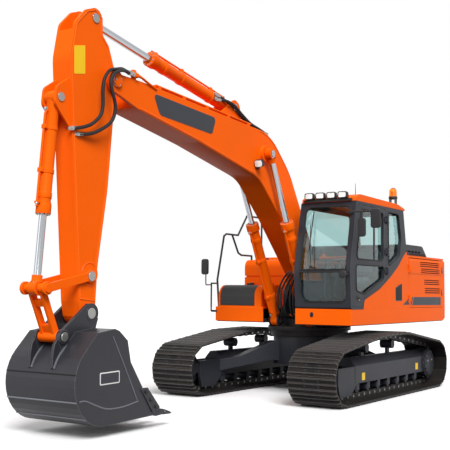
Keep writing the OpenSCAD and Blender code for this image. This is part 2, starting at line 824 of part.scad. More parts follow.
// Fuel and hydraulic tanks on the right, rounded at the front, with a groove round them
module tanks() {
    h = house_half;
    color(orange) {
        for (z = door_z)
            translate([panel_x - 15, -h, z])
                rotate([0, 0, 180])
                    hinge_pin(80, 10, 60);
        difference() {
            slab(-h + 20, tank_y)
                polygon(soft([[panel_x + 300, cab_base_z, 0], [-110, cab_base_z, 0], [-110, tank_top, 130],
                    [panel_x + 300, tank_top, 0]]));
            box([panel_x + 320, -h, 1860], [0, -h + 40, 1885]);
            box([-130, -h, 1860], [0, 0, 1885]);
        }
        box([panel_x, -h, cab_base_z], [panel_x + 300, tank_y, panel_top]);
    }
}

box_top = 1715;
box_x = 130;
lid_t = 22;
lid_hinge = [box_x + 40, box_top + 26];
box_front = right_front - 4;

// Rounded box on the right front, open under its lid
module toolbox() {
    h = house_half;
    y = [-h + 300, -720];
    color(orange)
        difference() {
            slab(-h + 60, -470)
                polygon(soft([[box_x, cab_base_z, 0], [box_front, cab_base_z, 0], [box_front, box_top, 190],
                    [box_x, box_top, 20]]));
            slab(-h + 90, -600)
                polygon(soft([[box_x + 90, cab_base_z + 20, 0], [box_front + 90, cab_base_z + 20, 0],
                    [box_front + 90, box_top + 90, 0], [box_x + 90, box_top + 90, 0]]));
        }
    color(dark)
        for (v = y) {
            ybar(lid_hinge, hinge_r, v - 20, v + 100);
            for (d = [-45, 95])
                box([lid_hinge[0] - 14, v + d, box_top - 1], [lid_hinge[0] + 14, v + d + 30, lid_hinge[1] + 14]);
        }
}

// Dark cover over the box's top and front
module toolbox_lid() {
    h = house_half;
    z = cab_base_z + 26;
    color(dark) {
        difference() {
            slab(-h + 96, -606)
                polygon(soft([[box_x + 96, z, 0], [box_front, z, 0], [box_front, box_top, 190],
                    [box_x + 96, box_top, 0]]));
            slab(-h + 60, -590)
                polygon(soft([[box_x, z - 10, 0], [box_front - lid_t, z - 10, 0],
                    [box_front - lid_t, box_top - lid_t, 170], [box_x, box_top - lid_t, 0]]));
        }
        for (v = [-h + 300, -720])
            difference() {
                union() {
                    ybar(lid_hinge, 19, v, v + 80);
                    box([lid_hinge[0], v, box_top + 8], [box_x + 140, v + 80, box_top + 30]);
                    box([box_x + 104, v, box_top - 10], [box_x + 140, v + 80, box_top + 30]);
                }
                ybar(lid_hinge, hinge_r + play, v - 1, v + 81);
            }
    }
}

// Tube rails round the right front and over the tanks
module handrails() {
    r = 17;
    y = -house_half + 40;
    color(dark) {
        tube([[right_front - 40, y, cab_base_z + 2.2], [right_front + 10, y, 1800], [590, y, 2545], [520, y, 2582],
            [150, y, 2582], [-140, y, 2940], [-640, y, 2940], [-640, y, tank_top]], r);
        tube([[340, y, 2582], [140, y, 2275], [40, y, 2240], [-300, y, 2240], [-300, y, tank_top]], r);
        tube([[right_front, -house_half - 60, 1280], [right_front + 40, -house_half - 60, 1280],
            [right_front + 40, -house_half - 60, 1740], [right_front - 2, y - 20, 1740]], r - 4);
        box([right_front, -house_half - 75, 1262], [right_front + 8, -house_half + 30, 1298]);
    }
}

// Mirror heads on their stalks
module mirrors() {
    x = cab_front + 55;
    z = cab_top - 190;
    y = cab_left_y;
    color(dark) {
        tube([[screen_x(z) + 3, y - 40, z], [x, y - 40, z], [x, y + 410, z]], 13);
        tube([[x, y + 200, z], [x, y + 200, z - 100]], 13);
        box([x - 18, y + 132, z - 370], [x + 22, y + 262, z - 95]);
        box([x - 18, y + 336, z - 250], [x + 22, y + 496, z + 32]);
        tube([[screen_x(1868) + 0.5, y - 30, 1868], [cab_front + 115, y - 30, 1868], [cab_front + 115, y - 85, 1868]], 9);
        translate([cab_front + 105, y - 85, 1868])
            rotate([0, 90, 0])
                cylinder(r = 62, h = 24);
        tube([[right_front + 40, -house_half - 73.2, 1715], [right_front + 40, -house_half - 175, 1715],
            [right_front + 40, -house_half - 175, 1900]], 10);
        box([right_front + 22, -house_half - 265, 1885], [right_front + 60, -house_half - 120, 2150]);
    }
}

// Lamp bar with four heads over the windscreen
module work_lights() {
    x = screen_x(cab_top) + 7;
    step = (cab_width - 184) / 4;
    color(dark) {
        box([x, cab_right_y + 60, cab_top + 4], [x + 24, cab_left_y - 60, cab_top + 44]);
        for (i = [0 : 3])
            box([x - 8, cab_right_y + 95 + i * step, cab_top + 40],
                [x + 82, cab_right_y + 64 + (i + 1) * step, cab_top + 142]);
    }
}

// Beacon on its bracket and a thin aerial, on the roof
module beacon() {
    p = [cab_rear + 240, cab_left_y - 130];
    z = cab_top + 60;
    e = cab_top + 35.3;
    a = [cab_rear + 900, cab_left_y - 500];
    color(dark) {
        slab(p[1] - 50, p[1] + 50)
            polygon([[p[0] - 50, e + 0.19 * 170], [p[0] + 50, e + 0.19 * 270], [p[0] + 50, z + 131],
                [p[0] - 50, z + 131]]);
        translate([p[0], p[1], z + 130])
            cylinder(r = 68, h = 40);
        translate([p[0], p[1], z + 170])
            cylinder(r = 58, h = 90);
        translate([p[0], p[1], z + 260])
            sphere(r = 58);
        translate([a[0], a[1], cab_top + 92.4 + 24 * (a[0] - cab_rear - 320) / (cab_front - cab_rear - 650)])
            cylinder(r = 7, h = 300);
    }
}

// Pins carried by the house: boom foot and both boom cylinders
module house_pins() {
    color(steel) {
        ybar(foot, main_pin_r, -web_out, web_out);
        ybars(foot, main_pin_r + 25, web_out, web_out + 18);
        for (s = [-1, 1]) {
            ybar(boom_cyl_foot, 40, s * cyl_y - 86, s * cyl_y + 86);
            ybar(boom_cyl_foot, 55, s > 0 ? cyl_y + 86 : -cyl_y - 98, s > 0 ? cyl_y + 98 : -cyl_y - 86);
        }
    }
}

foot_r = 165;
nose_r = 135;
boom_line = [[-60, -150, 0], [1641, 442, 1500], [2450, 668, 700], [3950, 300, 3000], [5213, -61, 900],
    [5700, -134, 0], [5745, 100, 0], [5640, 137, 60], [5297, 291, 900], [2450, 1440, 900],
    [1700, 1225, 1200], [-60, 150, 0]];

module boom() {
    color(orange)
        translate([foot[0], 0, foot[1]])
            rotate([0, -boom_angle, 0])
                difference() {
                    union() {
                        slab(-boom_width / 2, boom_width / 2) {
                            polygon(soft([for (p = boom_line) [p[0] * kb, p[1], p[2]]]));
                            circle(r = foot_r);
                            translate([boom_length, 0])
                                circle(r = nose_r);
                        }
                        ybar([0, 0], foot_r - 20, -web_in + side_play, web_in - side_play);
                        ybars([2477 * kb, 1060], 125, boom_width / 2, cyl_y - 62);
                        slabs(94, 124)
                            polygon(soft([[3050 * kb, 1120, 0], [3700 * kb, 880, 0], [3520 * kb, 1220, 60],
                                [3400 * kb, 1420, 95], [3260 * kb, 1410, 95]]));
                    }
                    box([boom_length - 420, -fork_in, -600], [boom_length + 400, fork_in, 900]);
                    ybar([0, 0], main_pin_r + play, -900, 900);
                    ybar([boom_length, 0], main_pin_r + play, -900, 900);
                    ybar([3345 * kb, 1307], 38 + play, -300, 300);
                }
}

// Steel pipes and their clamps along the top of the boom
module boom_pipes() {
    a = on_boom([2900, 1440 - 0.4036 * 450]);
    b = on_boom([5100, 1440 - 0.4036 * 2650]);
    n = norm(b - a);
    color(orange)
        along(a, b)
            for (s = [-1, 1]) {
                for (k = [0, 1])
                    translate([0, s * (184 - k * 34), 32])
                        xbar(60, n - 60, 14);
                for (i = [0 : 4])
                    box([100 + i * (n - 260) / 4, s * 167 - 31, 0.2], [160 + i * (n - 260) / 4, s * 167 + 31, 34]);
            }
}

module boom_pins() {
    half = boom_width / 2;
    color(steel) {
        ybar(nose, main_pin_r, -half, half);
        ybars(nose, main_pin_r + 25, half, half + 18);
        ybar(arm_cyl_foot, 38, -124, 124);
        ybars(arm_cyl_foot, 54, 124, 136);
    }
}

boom_full = norm(boom_cyl_pin - boom_cyl_foot);
boom_gland = 1690;
arm_full = norm(arm_cyl_pin - arm_cyl_foot);
arm_gland = 1870;
bucket_full = norm(cross_pin - bucket_cyl_foot);
bucket_gland = 1310;

module boom_barrels() {
    color(orange)
        for (s = [-1, 1])
            along(boom_cyl_foot, boom_cyl_pin, s * cyl_y)
                barrel(boom_gland, boom_cyl_r, 102, boom_rod_r, 88, 2 * (cyl_y - lug_in - side_play), 40);
}

module boom_rods() {
    color(steel)
        for (s = [-1, 1])
            along(boom_cyl_foot, boom_cyl_pin, s * cyl_y)
                piston_rod(boom_gland, boom_full, 640, boom_rod_r, boom_cyl_r - 16, 84, 84, 50,
                    s > 0 ? -42 : -56, s > 0 ? 56 : 42);
}

arm_line = [[-690, 285, 0], [-490, 250, 60], [-400, 130, 80], [-180, 5, 150], [0, -60, 200],
    [1286, -107, 3000], [2187, -70, 900], [2624, -100, 0], [2735, -130, 0], [2790, 120, 0],
    [2626, 178, 300], [711, 582, 3000], [-60, 740, 500], [-482, 715, 150], [-690, 560, 80], [-760, 420, 0]];

module arm() {
    color(orange)
        translate([nose[0], 0, nose[1]])
            rotate([0, -arm_angle, 0])
                difference() {
                    union() {
                        slab(-arm_width / 2, arm_width / 2) {
                            polygon(soft([for (p = arm_line) [p[0] * ka, p[1], p[2]]]));
                            translate([-642 * ka, 402])
                                circle(r = 118);
                            circle(r = 150);
                            translate([arm_length, 0])
                                circle(r = 124);
                        }
                        ybar([0, 0], 120, -fork_in + side_play, fork_in - side_play);
                        ybar([arm_length, 0], 110, -ear_in + side_play, ear_in - side_play);
                        ybar([2324 * ka, 60], 85, -lever_in + side_play, lever_in - side_play);
                        slabs(80, 110)
                            polygon(soft([[180 * ka, 690, 0], [330 * ka, 860, 90], [520 * ka, 860, 90],
                                [760 * ka, 560, 0], [180 * ka, 600, 0]]));
                    }
                    box([-1000, -98, -200], [-400 * ka, 98, 900]);
                    ybar([0, 0], main_pin_r + play, -400, 400);
                    ybar([arm_length, 0], 42 + play, -400, 400);
                    ybar([2324 * ka, 60], 38 + play, -400, 400);
                    ybar([432 * ka, 780], 36 + play, -400, 400);
                }
}

module arm_pins() {
    color(steel) {
        ybar(tip, 42, -ear_out, ear_out);
        ybars(tip, 62, ear_out + 0.1, ear_out + 6);
        ybar(tip, 42, -ear_out - 2, ear_out + 2);
        ybar(lever_pin, 38, -lever_out - 2, lever_out + 2);
        ybars(lever_pin, 56, lever_out + 0.1, lever_out + 12);
        ybar(bucket_cyl_foot, 36, -110, 110);
        ybars(bucket_cyl_foot, 50, 110, 122);
        ybars(arm_cyl_pin, 56, arm_width / 2, arm_width / 2 + 14);
    }
}

module arm_barrel() {
    color(orange)
        along(arm_cyl_foot, arm_cyl_pin)
            barrel(arm_gland, arm_cyl_r, 98, arm_rod_r, 92, 176, 38);
}

module arm_rod() {
    color(steel)
        along(arm_cyl_foot, arm_cyl_pin)
            piston_rod(arm_gland, arm_full, 660, arm_rod_r, arm_cyl_r - 16, 92, 150, 45, -90, 90);
}

module bucket_barrel() {
    color(orange)
        along(bucket_cyl_foot, cross_pin)
            barrel(bucket_gland, bucket_cyl_r, 84, bucket_rod_r, 80, 148, 36);
}

module bucket_rod() {
    color(steel)
        along(bucket_cyl_foot, cross_pin)
            piston_rod(bucket_gland, bucket_full, 690, bucket_rod_r, bucket_cyl_r - 16, 80, 110, 40,
                6 - link_in, link_in - 6);
}

// Two plates from the arm to the cross pin
module bucket_levers() {
    color(orange)
        along(lever_pin, cross_pin) {
            n = norm(cross_pin - lever_pin);
            difference() {
                slabs(lever_in, lever_out) {
                    circle(r = 72);
                    translate([n, 0])
                        circle(r = 72);
                    polygon([[0, -48], [n, -48], [n, 48], [0, 48]]);
                }
                ybar([0, 0], 38 + play, -400, 400);
            }
            ybars([n, 0], 50, lever_out, lever_out + 14);
        }
}

// Twin-legged link between the bucket's ears, from the link pin to the cross pin
module bucket_link() {
    color(orange)
        along(link_pin, cross_pin) {
            n = norm(cross_pin - link_pin);
            difference() {
                union() {
                    slabs(link_in, link_out) {
                        circle(r = 62);
                        translate([n, 0])
                            circle(r = 54);
                        polygon([[0, -40], [n, -40], [n, 40], [0, 40]]);
                    }
                    ybar([0, 0], 62, -ear_in + side_play, ear_in - side_play);
                    ybars([n, 0], 52, link_out - 1, lever_in - side_play);
                }
                ybar([0, 0], 40 + play, -400, 400);
            }
        }
}

// Bucket curves, measured from the bucket pin
heel_c = [140, -740];
lip_x = -800;
lip_z = -1180;
function shell(r) = concat([[lip_x, lip_z + heel_radius - r]], arc(heel_c, r, -90, 45, 14),
    [heel_c + r * [0.7071, 0.7071] + [-210, 210]]);

module bucket() {
    h = bucket_width / 2;
    t = bucket_t;
    inner = shell(heel_radius - t);
    outer = shell(heel_radius);
    last = len(outer) - 1;
    color(dark)
        translate([tip[0], 0, tip[1]])
            difference() {
                union() {
                    slab(-h, h)
                        polygon(concat(outer, [for (i = [last : -1 : 0]) inner[i]]));
                    slabs(h - t, h)
                        polygon(concat(outer, [[-20, -165], [-95, -190], [-240, -300], [-300, -544],
                            [-503, -828], [lip_x + 60, lip_z + 60]]));
                    slabs(h, h + 16)
                        polygon(soft([[-470, -850, 20], [-590, -850, 30], [-850, -1120, 30], [-700, -1150, 20]]));
                    slab(-h, h)
                        polygon([outer[last], [-20, -165], [-95, -190], [-80, -225], inner[last]]);
                    slabs(ear_in, ear_out) {
                        circle(r = 112);
                        translate([443, -249])
                            circle(r = 82);
                        polygon([[-110, -60], [-60, -200], outer[last] + [-30, -20], [480, -390],
                            [525, -260], [443, -167], [60, 110]]);
                    }
                }
                ybar([0, 0], 42 + play, -400, 400);
                ybar([443, -249], 40 + play, -400, 400);
            }
}

module bucket_pins() {
    color(steel) {
        ybar(link_pin, 40, -ear_out - 2, ear_out + 2);
        ybars(link_pin, 52, ear_out + 0.1, ear_out + 26);
    }
}

module bucket_teeth() {
    h = bucket_width / 2 - 60;
    z0 = lip_z;
    color(dark)
        translate([tip[0], 0, tip[1]])
            for (i = [0 : tooth_count - 1]) {
                y = -h + 2 * h * i / (tooth_count - 1);
                slab(y - 48, y + 48)
                    polygon([[lip_x, z0 - 20], [lip_x, z0 + bucket_t + 40], [lip_x - 140, z0 + 50],
                        [lip_x - 310, z0 - 6], [lip_x - 310, z0 - 24]]);
            }
}

car_body();
swing_bearing();
track_frame_left();
track_frame_right();
track_left();
track_right();
front_idlers();
final_drives();
track_rollers();
carrier_rollers();
main_frame();
side_decks();
cab_shell();
cab_roof();
cab_glass();
cab_door();
door_glass();
operator_seat();
counterweight();
lift_sockets();
left_panel();
left_door();
right_door();
top_deck();
engine_hood();
engine_block();
tanks();
toolbox();
toolbox_lid();
handrails();
mirrors();
work_lights();
beacon();
house_pins();
boom();
boom_pipes();
boom_pins();
boom_barrels();
boom_rods();
arm();
arm_pins();
arm_barrel();
arm_rod();
bucket_barrel();
bucket_rod();
bucket_levers();
bucket_link();
bucket();
bucket_pins();
bucket_teeth();
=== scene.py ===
"""Looks of a crawler excavator, built round its CAD frame in metres."""

import json
import logging
import math
from dataclasses import dataclass
from enum import Enum
from typing import Iterable, Optional, Sequence

import bmesh
import bpy
from mathutils import Matrix, Vector

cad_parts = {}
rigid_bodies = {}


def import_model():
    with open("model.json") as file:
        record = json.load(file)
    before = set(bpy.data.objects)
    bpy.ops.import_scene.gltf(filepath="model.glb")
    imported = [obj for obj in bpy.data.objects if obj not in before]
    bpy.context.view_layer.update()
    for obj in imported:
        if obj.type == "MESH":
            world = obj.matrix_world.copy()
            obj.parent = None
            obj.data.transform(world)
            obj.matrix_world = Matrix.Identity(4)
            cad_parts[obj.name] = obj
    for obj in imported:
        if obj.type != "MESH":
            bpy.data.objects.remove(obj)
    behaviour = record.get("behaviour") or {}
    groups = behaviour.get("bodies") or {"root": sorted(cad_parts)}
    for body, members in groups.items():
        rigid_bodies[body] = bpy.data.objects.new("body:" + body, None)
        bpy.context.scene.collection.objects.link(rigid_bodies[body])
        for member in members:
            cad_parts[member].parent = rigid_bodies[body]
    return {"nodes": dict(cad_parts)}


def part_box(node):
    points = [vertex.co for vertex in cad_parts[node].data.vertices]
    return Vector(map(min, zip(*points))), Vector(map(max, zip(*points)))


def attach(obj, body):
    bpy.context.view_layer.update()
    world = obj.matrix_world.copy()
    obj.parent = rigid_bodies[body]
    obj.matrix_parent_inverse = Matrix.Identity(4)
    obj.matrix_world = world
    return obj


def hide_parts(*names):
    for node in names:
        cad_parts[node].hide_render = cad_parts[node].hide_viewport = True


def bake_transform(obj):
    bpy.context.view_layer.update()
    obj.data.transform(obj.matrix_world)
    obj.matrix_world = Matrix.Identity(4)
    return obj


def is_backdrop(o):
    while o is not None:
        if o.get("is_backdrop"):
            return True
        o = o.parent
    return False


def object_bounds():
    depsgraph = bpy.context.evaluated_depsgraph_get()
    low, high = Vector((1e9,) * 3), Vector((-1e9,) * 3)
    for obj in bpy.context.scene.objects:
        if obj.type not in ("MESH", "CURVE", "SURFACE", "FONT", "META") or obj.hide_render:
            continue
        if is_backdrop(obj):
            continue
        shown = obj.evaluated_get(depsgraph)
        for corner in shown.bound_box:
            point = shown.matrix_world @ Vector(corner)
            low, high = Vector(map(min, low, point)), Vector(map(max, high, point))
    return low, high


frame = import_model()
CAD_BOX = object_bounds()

LOG = logging.getLogger("excavator")
Point = Sequence[float]
Pair = tuple[float, float]
Outline = list[Pair]
Piece = bpy.types.Object
Material = bpy.types.Material
Tree = bpy.types.NodeTree
Socket = bpy.types.NodeSocket
Node = bpy.types.Node
FORWARD = (1, 0, 0)
LEFT = (0, 1, 0)
UP = (0, 0, 1)
SHARP_ANGLE = math.radians(38)
BEVEL_ANGLE = math.radians(40)
WELD_STEP = 0.016
WELD_RADIUS = 0.0075
WELD_RIPPLE = 0.25


class Body(str, Enum):
    """Moving groups of the CAD frame that carry added pieces."""

    UNDERCARRIAGE = "undercarriage"
    HOUSE = "house"
    CAB_DOOR = "cab_door"
    LEFT_DOOR = "left_door"
    RIGHT_DOOR = "right_door"
    HOOD = "engine_hood"
    BOOM = "boom"
    BOOM_BARRELS = "boom_barrels"
    BOOM_RODS = "boom_rods"
    ARM_ROD = "arm_rod"
    BUCKET_ROD = "bucket_rod"
    ARM = "arm"
    ARM_BARREL = "arm_barrel"
    BUCKET_BARREL = "bucket_barrel"
    LINK = "bucket_link"
    BUCKET = "bucket"


class Slot(str, Enum):
    """Material slots of the record; the CAD nodes take their finish by them."""

    ORANGE = "orange_paint"
    CHARCOAL = "charcoal_paint"
    TRACK = "track_steel"
    IRON = "engine_iron"
    GLASS = "clear_glass"
    SEAT = "seat_trim"
    PLASTIC = "black_plastic"
    TUBE = "black_tube"
    PIN = "pin_steel"
    CHROME = "chrome_rod"
    BUCKET = "bucket_steel"


class Effect(str, Enum):
    """Shared shader node groups."""

    VARIATION = "surface_variation"
    WEAR = "edge_wear"
    DUST = "dust_film"
    GRAIN = "fine_grain"


def linear(colour: int) -> tuple[float, float, float, float]:
    """Turns a written colour into the linear values that shaders take.

    Args:
        colour: Colour as 0xRRGGBB.

    Returns:
        Linear red, green, blue and alpha.
    """
    parts = [((colour >> shift) & 255) / 255 for shift in (16, 8, 0)]
    flat = [c / 12.92 if c <= 0.04045 else ((c + 0.055) / 1.055) ** 2.4 for c in parts]
    return flat[0], flat[1], flat[2], 1.0


def feed(node: Node, values: dict[object, object]) -> Node:
    """Gives a node's inputs constants, or links from other sockets.

    Args:
        node: The node.
        values: Constant or socket for each input, by the input's name or number.

    Returns:
        The node.
    """
    for key, value in values.items():
        if isinstance(value, Socket):
            node.id_data.links.new(value, node.inputs[key])
        else:
            node.inputs[key].default_value = value
    return node


def add(tree: Tree, kind: str, values: dict[object, object], operation: str = "") -> Node:
    """Adds a shader node and feeds its inputs.

    Args:
        tree: Tree that gets the node.
        kind: Kind of shader node.
        values: Constant or socket for each input, by the input's name or number.
        operation: What a node for sums does.

    Returns:
        The node.
    """
    node = tree.nodes.new("ShaderNode" + kind)
    if operation:
        node.operation = operation
    return feed(node, values)


def maths(tree: Tree, operation: str, *values: object, clamp: bool = False) -> Socket:
    """Adds a Math node whose inputs are sockets or numbers.

    Args:
        tree: Tree that gets the node.
        operation: What the node does.
        values: Socket or number for each input.
        clamp: Whether the value is kept between 0 and 1.

    Returns:
        The value's socket.
    """
    node = add(tree, "Math", dict(enumerate(values)), operation)
    node.use_clamp = clamp
    return node.outputs[0]


def any_ray(tree: Tree, rays: Sequence[str]) -> Socket:
    """Mask of the light paths that are of one of the given kinds.

    Args:
        tree: Tree that gets the nodes.
        rays: Names of the kinds on the Light Path node.

    Returns:
        The mask's socket.
    """
    kinds = add(tree, "LightPath", {}).outputs
    found = kinds[rays[0]]
    for ray in rays[1:]:
        found = maths(tree, "MAXIMUM", found, kinds[ray])
    return found


class EffectGroups:
    """Makes each shared node group once."""

    @classmethod
    def get(cls, effect: Effect) -> Tree:
        """Returns the group of an effect, made on its first use.

        Args:
            effect: The effect wanted.

        Returns:
            Its node tree.
        """
        found = bpy.data.node_groups.get(effect.value)
        if found is not None:
            return found
        tree = bpy.data.node_groups.new(effect.value, "ShaderNodeTree")
        maker = {
            Effect.VARIATION: cls._variation,
            Effect.WEAR: cls._wear,
            Effect.DUST: cls._dust,
            Effect.GRAIN: cls._grain,
        }[effect]
        maker(tree)
        return tree

    @staticmethod
    def _ends(tree: Tree, inputs: dict[str, str], outputs: dict[str, str]) -> tuple:
        """Declares a group's sockets and adds its two end nodes.

        Args:
            tree: The group's empty tree.
            inputs: Kinds of the inputs by name.
            outputs: Kinds of the outputs by name.

        Returns:
            The sockets that the group takes in, and the node that puts out.
        """
        for way, names in (("INPUT", inputs), ("OUTPUT", outputs)):
            for name, kind in names.items():
                tree.interface.new_socket(name, in_out=way, socket_type="NodeSocket" + kind)
        return tree.nodes.new("NodeGroupInput").outputs, tree.nodes.new("NodeGroupOutput")

    @staticmethod
    def _noise(tree: Tree, vector: Socket, scale: float, detail: float) -> Socket:
        """Adds a noise texture and returns its value's socket."""
        return add(tree, "TexNoise", {"Vector": vector, "Scale": scale, "Detail": detail}).outputs["Fac"]

    @classmethod
    def _variation(cls, tree: Tree) -> None:
        """Colour that drifts a little over broad and fine patches.

        Args:
            tree: The group's empty tree.
        """
        inputs = {"Vector": "Vector", "Color": "Color", "Amount": "Float"}
        start, end = cls._ends(tree, inputs, {"Color": "Color", "Mask": "Float"})
        broad = cls._noise(tree, start["Vector"], 1.7, 3.0)
        fine = cls._noise(tree, start["Vector"], 19.0, 5.0)
        mask = maths(tree, "MULTIPLY_ADD", fine, 0.4, broad)
        shade = maths(tree, "MULTIPLY", maths(tree, "SUBTRACT", mask, 0.7), start["Amount"])
        factor = maths(tree, "ADD", shade, 1.0)
        scaled = add(tree, "VectorMath", {0: start["Color"], "Scale": factor}, "SCALE")
        feed(end, {"Color": scaled.outputs[0], "Mask": mask})

    @classmethod
    def _wear(cls, tree: Tree) -> None:
        """Mask that is strong along edges, broken up by noise.

        Args:
            tree: The group's empty tree.
        """
        inputs = {"Vector": "Vector", "Amount": "Float", "Radius": "Float"}
        start, end = cls._ends(tree, inputs, {"Mask": "Float"})
        bevel = add(tree, "Bevel", {"Radius": start["Radius"]})
        bevel.samples = 4
        normal = add(tree, "NewGeometry", {}).outputs["Normal"]
        dot = add(tree, "VectorMath", {0: bevel.outputs["Normal"], 1: normal}, "DOT_PRODUCT")
        edge = maths(tree, "MULTIPLY", maths(tree, "SUBTRACT", 1.0, dot.outputs["Value"]), 5.0, clamp=True)
        patches = cls._noise(tree, start["Vector"], 26.0, 6.0)
        broken = maths(tree, "MULTIPLY", edge, maths(tree, "MULTIPLY", patches, 1.6))
        feed(end, {"Mask": maths(tree, "MULTIPLY", broken, start["Amount"], clamp=True)})

    @classmethod
    def _dust(cls, tree: Tree) -> None:
        """Mask of dust that lies on faces that look up.

        Args:
            tree: The group's empty tree.
        """
        start, end = cls._ends(tree, {"Vector": "Vector", "Amount": "Float"}, {"Mask": "Float"})
        normal = add(tree, "NewGeometry", {}).outputs["Normal"]
        height = add(tree, "SeparateXYZ", {0: normal}).outputs["Z"]
        up = maths(tree, "MULTIPLY_ADD", height, 0.6, 0.35, clamp=True)
        cloud = maths(tree, "MULTIPLY", up, cls._noise(tree, start["Vector"], 6.0, 7.0))
        feed(end, {"Mask": maths(tree, "MULTIPLY", cloud, start["Amount"], clamp=True)})

    @classmethod
    def _grain(cls, tree: Tree) -> None:
        """Fine height for orange peel, castings and moulded plastic.

        Args:
            tree: The group's empty tree.
        """
        start, end = cls._ends(tree, {"Vector": "Vector", "Scale": "Float"}, {"Height": "Float"})
        place = {"Vector": start["Vector"], "Scale": start["Scale"]}
        noise = add(tree, "TexNoise", {**place, "Detail": 4.0}).outputs["Fac"]
        cells = add(tree, "TexVoronoi", place).outputs["Distance"]
        feed(end, {"Height": maths(tree, "ADD", noise, maths(tree, "MULTIPLY", cells, 0.5))})


SEEN_RAYS = ("Is Camera Ray", "Is Glossy Ray", "Is Transmission Ray")
DUST_COLOUR = 0xB9AC9C
COAT_ROUGHNESS = 0.12
GRAIN_DEPTH = 0.0015
GLASS_IOR = 1.42
GLASS_SMUDGE = 0.04
FLOOR_BOUNCE = 0x565554


@dataclass(frozen=True)
class Finish:
    """A surface with its colour, gloss, lighter edges (wear, and on the orange paint a painted edge
    highlight), dust and grain.
    """

    name: str
    colour: int
    roughness: float = 0.45
    metallic: float = 0.0
    coat: float = 0.0
    variation: float = 0.25
    wear: float = 0.0
    wear_and_highlight_colour: int = 0x8C8A88
    dust: float = 0.0
    grain: float = 0.15
    grain_scale: float = 220.0
    specular: float = 0.5
    wear_and_highlight_radius: float = 0.012

    def material(self) -> Material:
        """Returns the finish's material, made on its first use."""
        found = bpy.data.materials.get(self.name)
        return found if found is not None else self._make()

    def _group(self, tree: Tree, effect: Effect, values: dict[object, object]) -> object:
        """Adds one shared effect to the material's tree.

        Args:
            tree: The material's tree.
            effect: The effect.
            values: Constant or socket for each of its inputs.

        Returns:
            The sockets that the effect puts out.
        """
        node = tree.nodes.new("ShaderNodeGroup")
        node.node_tree = EffectGroups.get(effect)
        return feed(node, values).outputs

    def _blend(self, tree: Tree, mask: Socket, under: Socket, over: int) -> Socket:
        """Lays a colour over another by a mask.

        Args:
            tree: The material's tree.
            mask: Where the upper colour shows.
            under: Lower colour.
            over: Upper colour as 0xRRGGBB.

        Returns:
            The mixed colour's socket.
        """
        mix = tree.nodes.new("ShaderNodeMix")
        mix.data_type = "RGBA"
        return feed(mix, {0: mask, 6: under, 7: linear(over)}).outputs[2]

    def _gloss(self, tree: Tree, mask: Socket, shares: Point, span: Point) -> Socket:
        """Roughness that follows a mask.

        Args:
            tree: The material's tree.
            mask: Mask that varies over the surface.
            shares: Values of the mask at the two ends.
            span: Roughness at these ends.

        Returns:
            The roughness's socket.
        """
        ends = {"From Min": shares[0], "From Max": shares[1], "To Min": span[0], "To Max": span[1]}
        return add(tree, "MapRange", {"Value": mask, **ends}).outputs["Result"]

    def _split(self, tree: Tree, rays: Sequence[str], plain: Node, other: Node) -> None:
        """Shows one shader to most rays and another to some kinds of ray.

        Args:
            tree: The material's tree.
            rays: Kinds of ray that see the other shader.
            plain: Shader for most rays.
            other: Shader for the given kinds.
        """
        mix = add(tree, "MixShader", {0: any_ray(tree, rays), 1: plain.outputs[0], 2: other.outputs[0]})
        feed(tree.nodes["Material Output"], {"Surface": mix.outputs[0]})

    def _start(self) -> tuple[Material, Tree, Node, Socket]:
        """Starts a material.

        Returns:
            The material, its tree, its shader and the place on the object.
        """
        material = bpy.data.materials.new(self.name)
        material.use_nodes = True
        tree = material.node_tree
        return material, tree, tree.nodes["Principled BSDF"], add(tree, "TexCoord", {}).outputs["Object"]

    def _make(self) -> Material:
        """Builds the node tree of a painted, moulded or bare metal surface.

        Returns:
            The new material.
        """
        material, tree, shader, vector = self._start()
        base = {"Vector": vector, "Color": linear(self.colour), "Amount": self.variation}
        drift = self._group(tree, Effect.VARIATION, base)
        colour = drift["Color"]
        # Lighter colour along edges: real wear on the steels, a painted edge highlight on the orange paint.
        if self.wear > 0:
            rub_and_highlight = {"Vector": vector, "Amount": self.wear, "Radius": self.wear_and_highlight_radius}
            edge = self._group(tree, Effect.WEAR, rub_and_highlight)
            colour = self._blend(tree, edge["Mask"], colour, self.wear_and_highlight_colour)
        if self.dust > 0:
            film = self._group(tree, Effect.DUST, {"Vector": vector, "Amount": self.dust})
            colour = self._blend(tree, film["Mask"], colour, DUST_COLOUR)
        grain = self._group(tree, Effect.GRAIN, {"Vector": vector, "Scale": self.grain_scale})
        relief = {"Strength": self.grain, "Distance": GRAIN_DEPTH, "Height": grain["Height"]}
        span = max(0.02, self.roughness * 0.85), min(1.0, self.roughness * 1.15)
        feed(shader, {
            "Roughness": self.roughness,
            "Metallic": self.metallic,
            "Coat Weight": self.coat,
            "Coat Roughness": COAT_ROUGHNESS,
            "Specular IOR Level": self.specular,
            "Base Color": colour,
            "Normal": add(tree, "Bump", relief).outputs["Normal"],
        })
        feed(shader, {"Roughness": self._gloss(tree, drift["Mask"], (0.3, 1.1), span)})
        return material


@dataclass(frozen=True)
class ClearFinish(Finish):
    """Glass or clear plastic whose gloss is broken only by faint smudges."""

    def _make(self) -> Material:
        """Builds a see-through shader with smudged gloss.

        Returns:
            The new material.
        """
        material, tree, shader, vector = self._start()
        drift = self._group(tree, Effect.VARIATION, {"Vector": vector})
        span = self.roughness, self.roughness + GLASS_SMUDGE
        feed(shader, {
            "Base Color": linear(self.colour),
            "Metallic": 0.0,
            "Transmission Weight": 1.0,
            "IOR": GLASS_IOR,
            "Roughness": self._gloss(tree, drift["Mask"], (0.4, 1.2), span),
        })
        through = add(tree, "BsdfTransparent", {"Color": linear(self.colour)})
        self._split(tree, ("Is Shadow Ray",), shader, through)
        return material


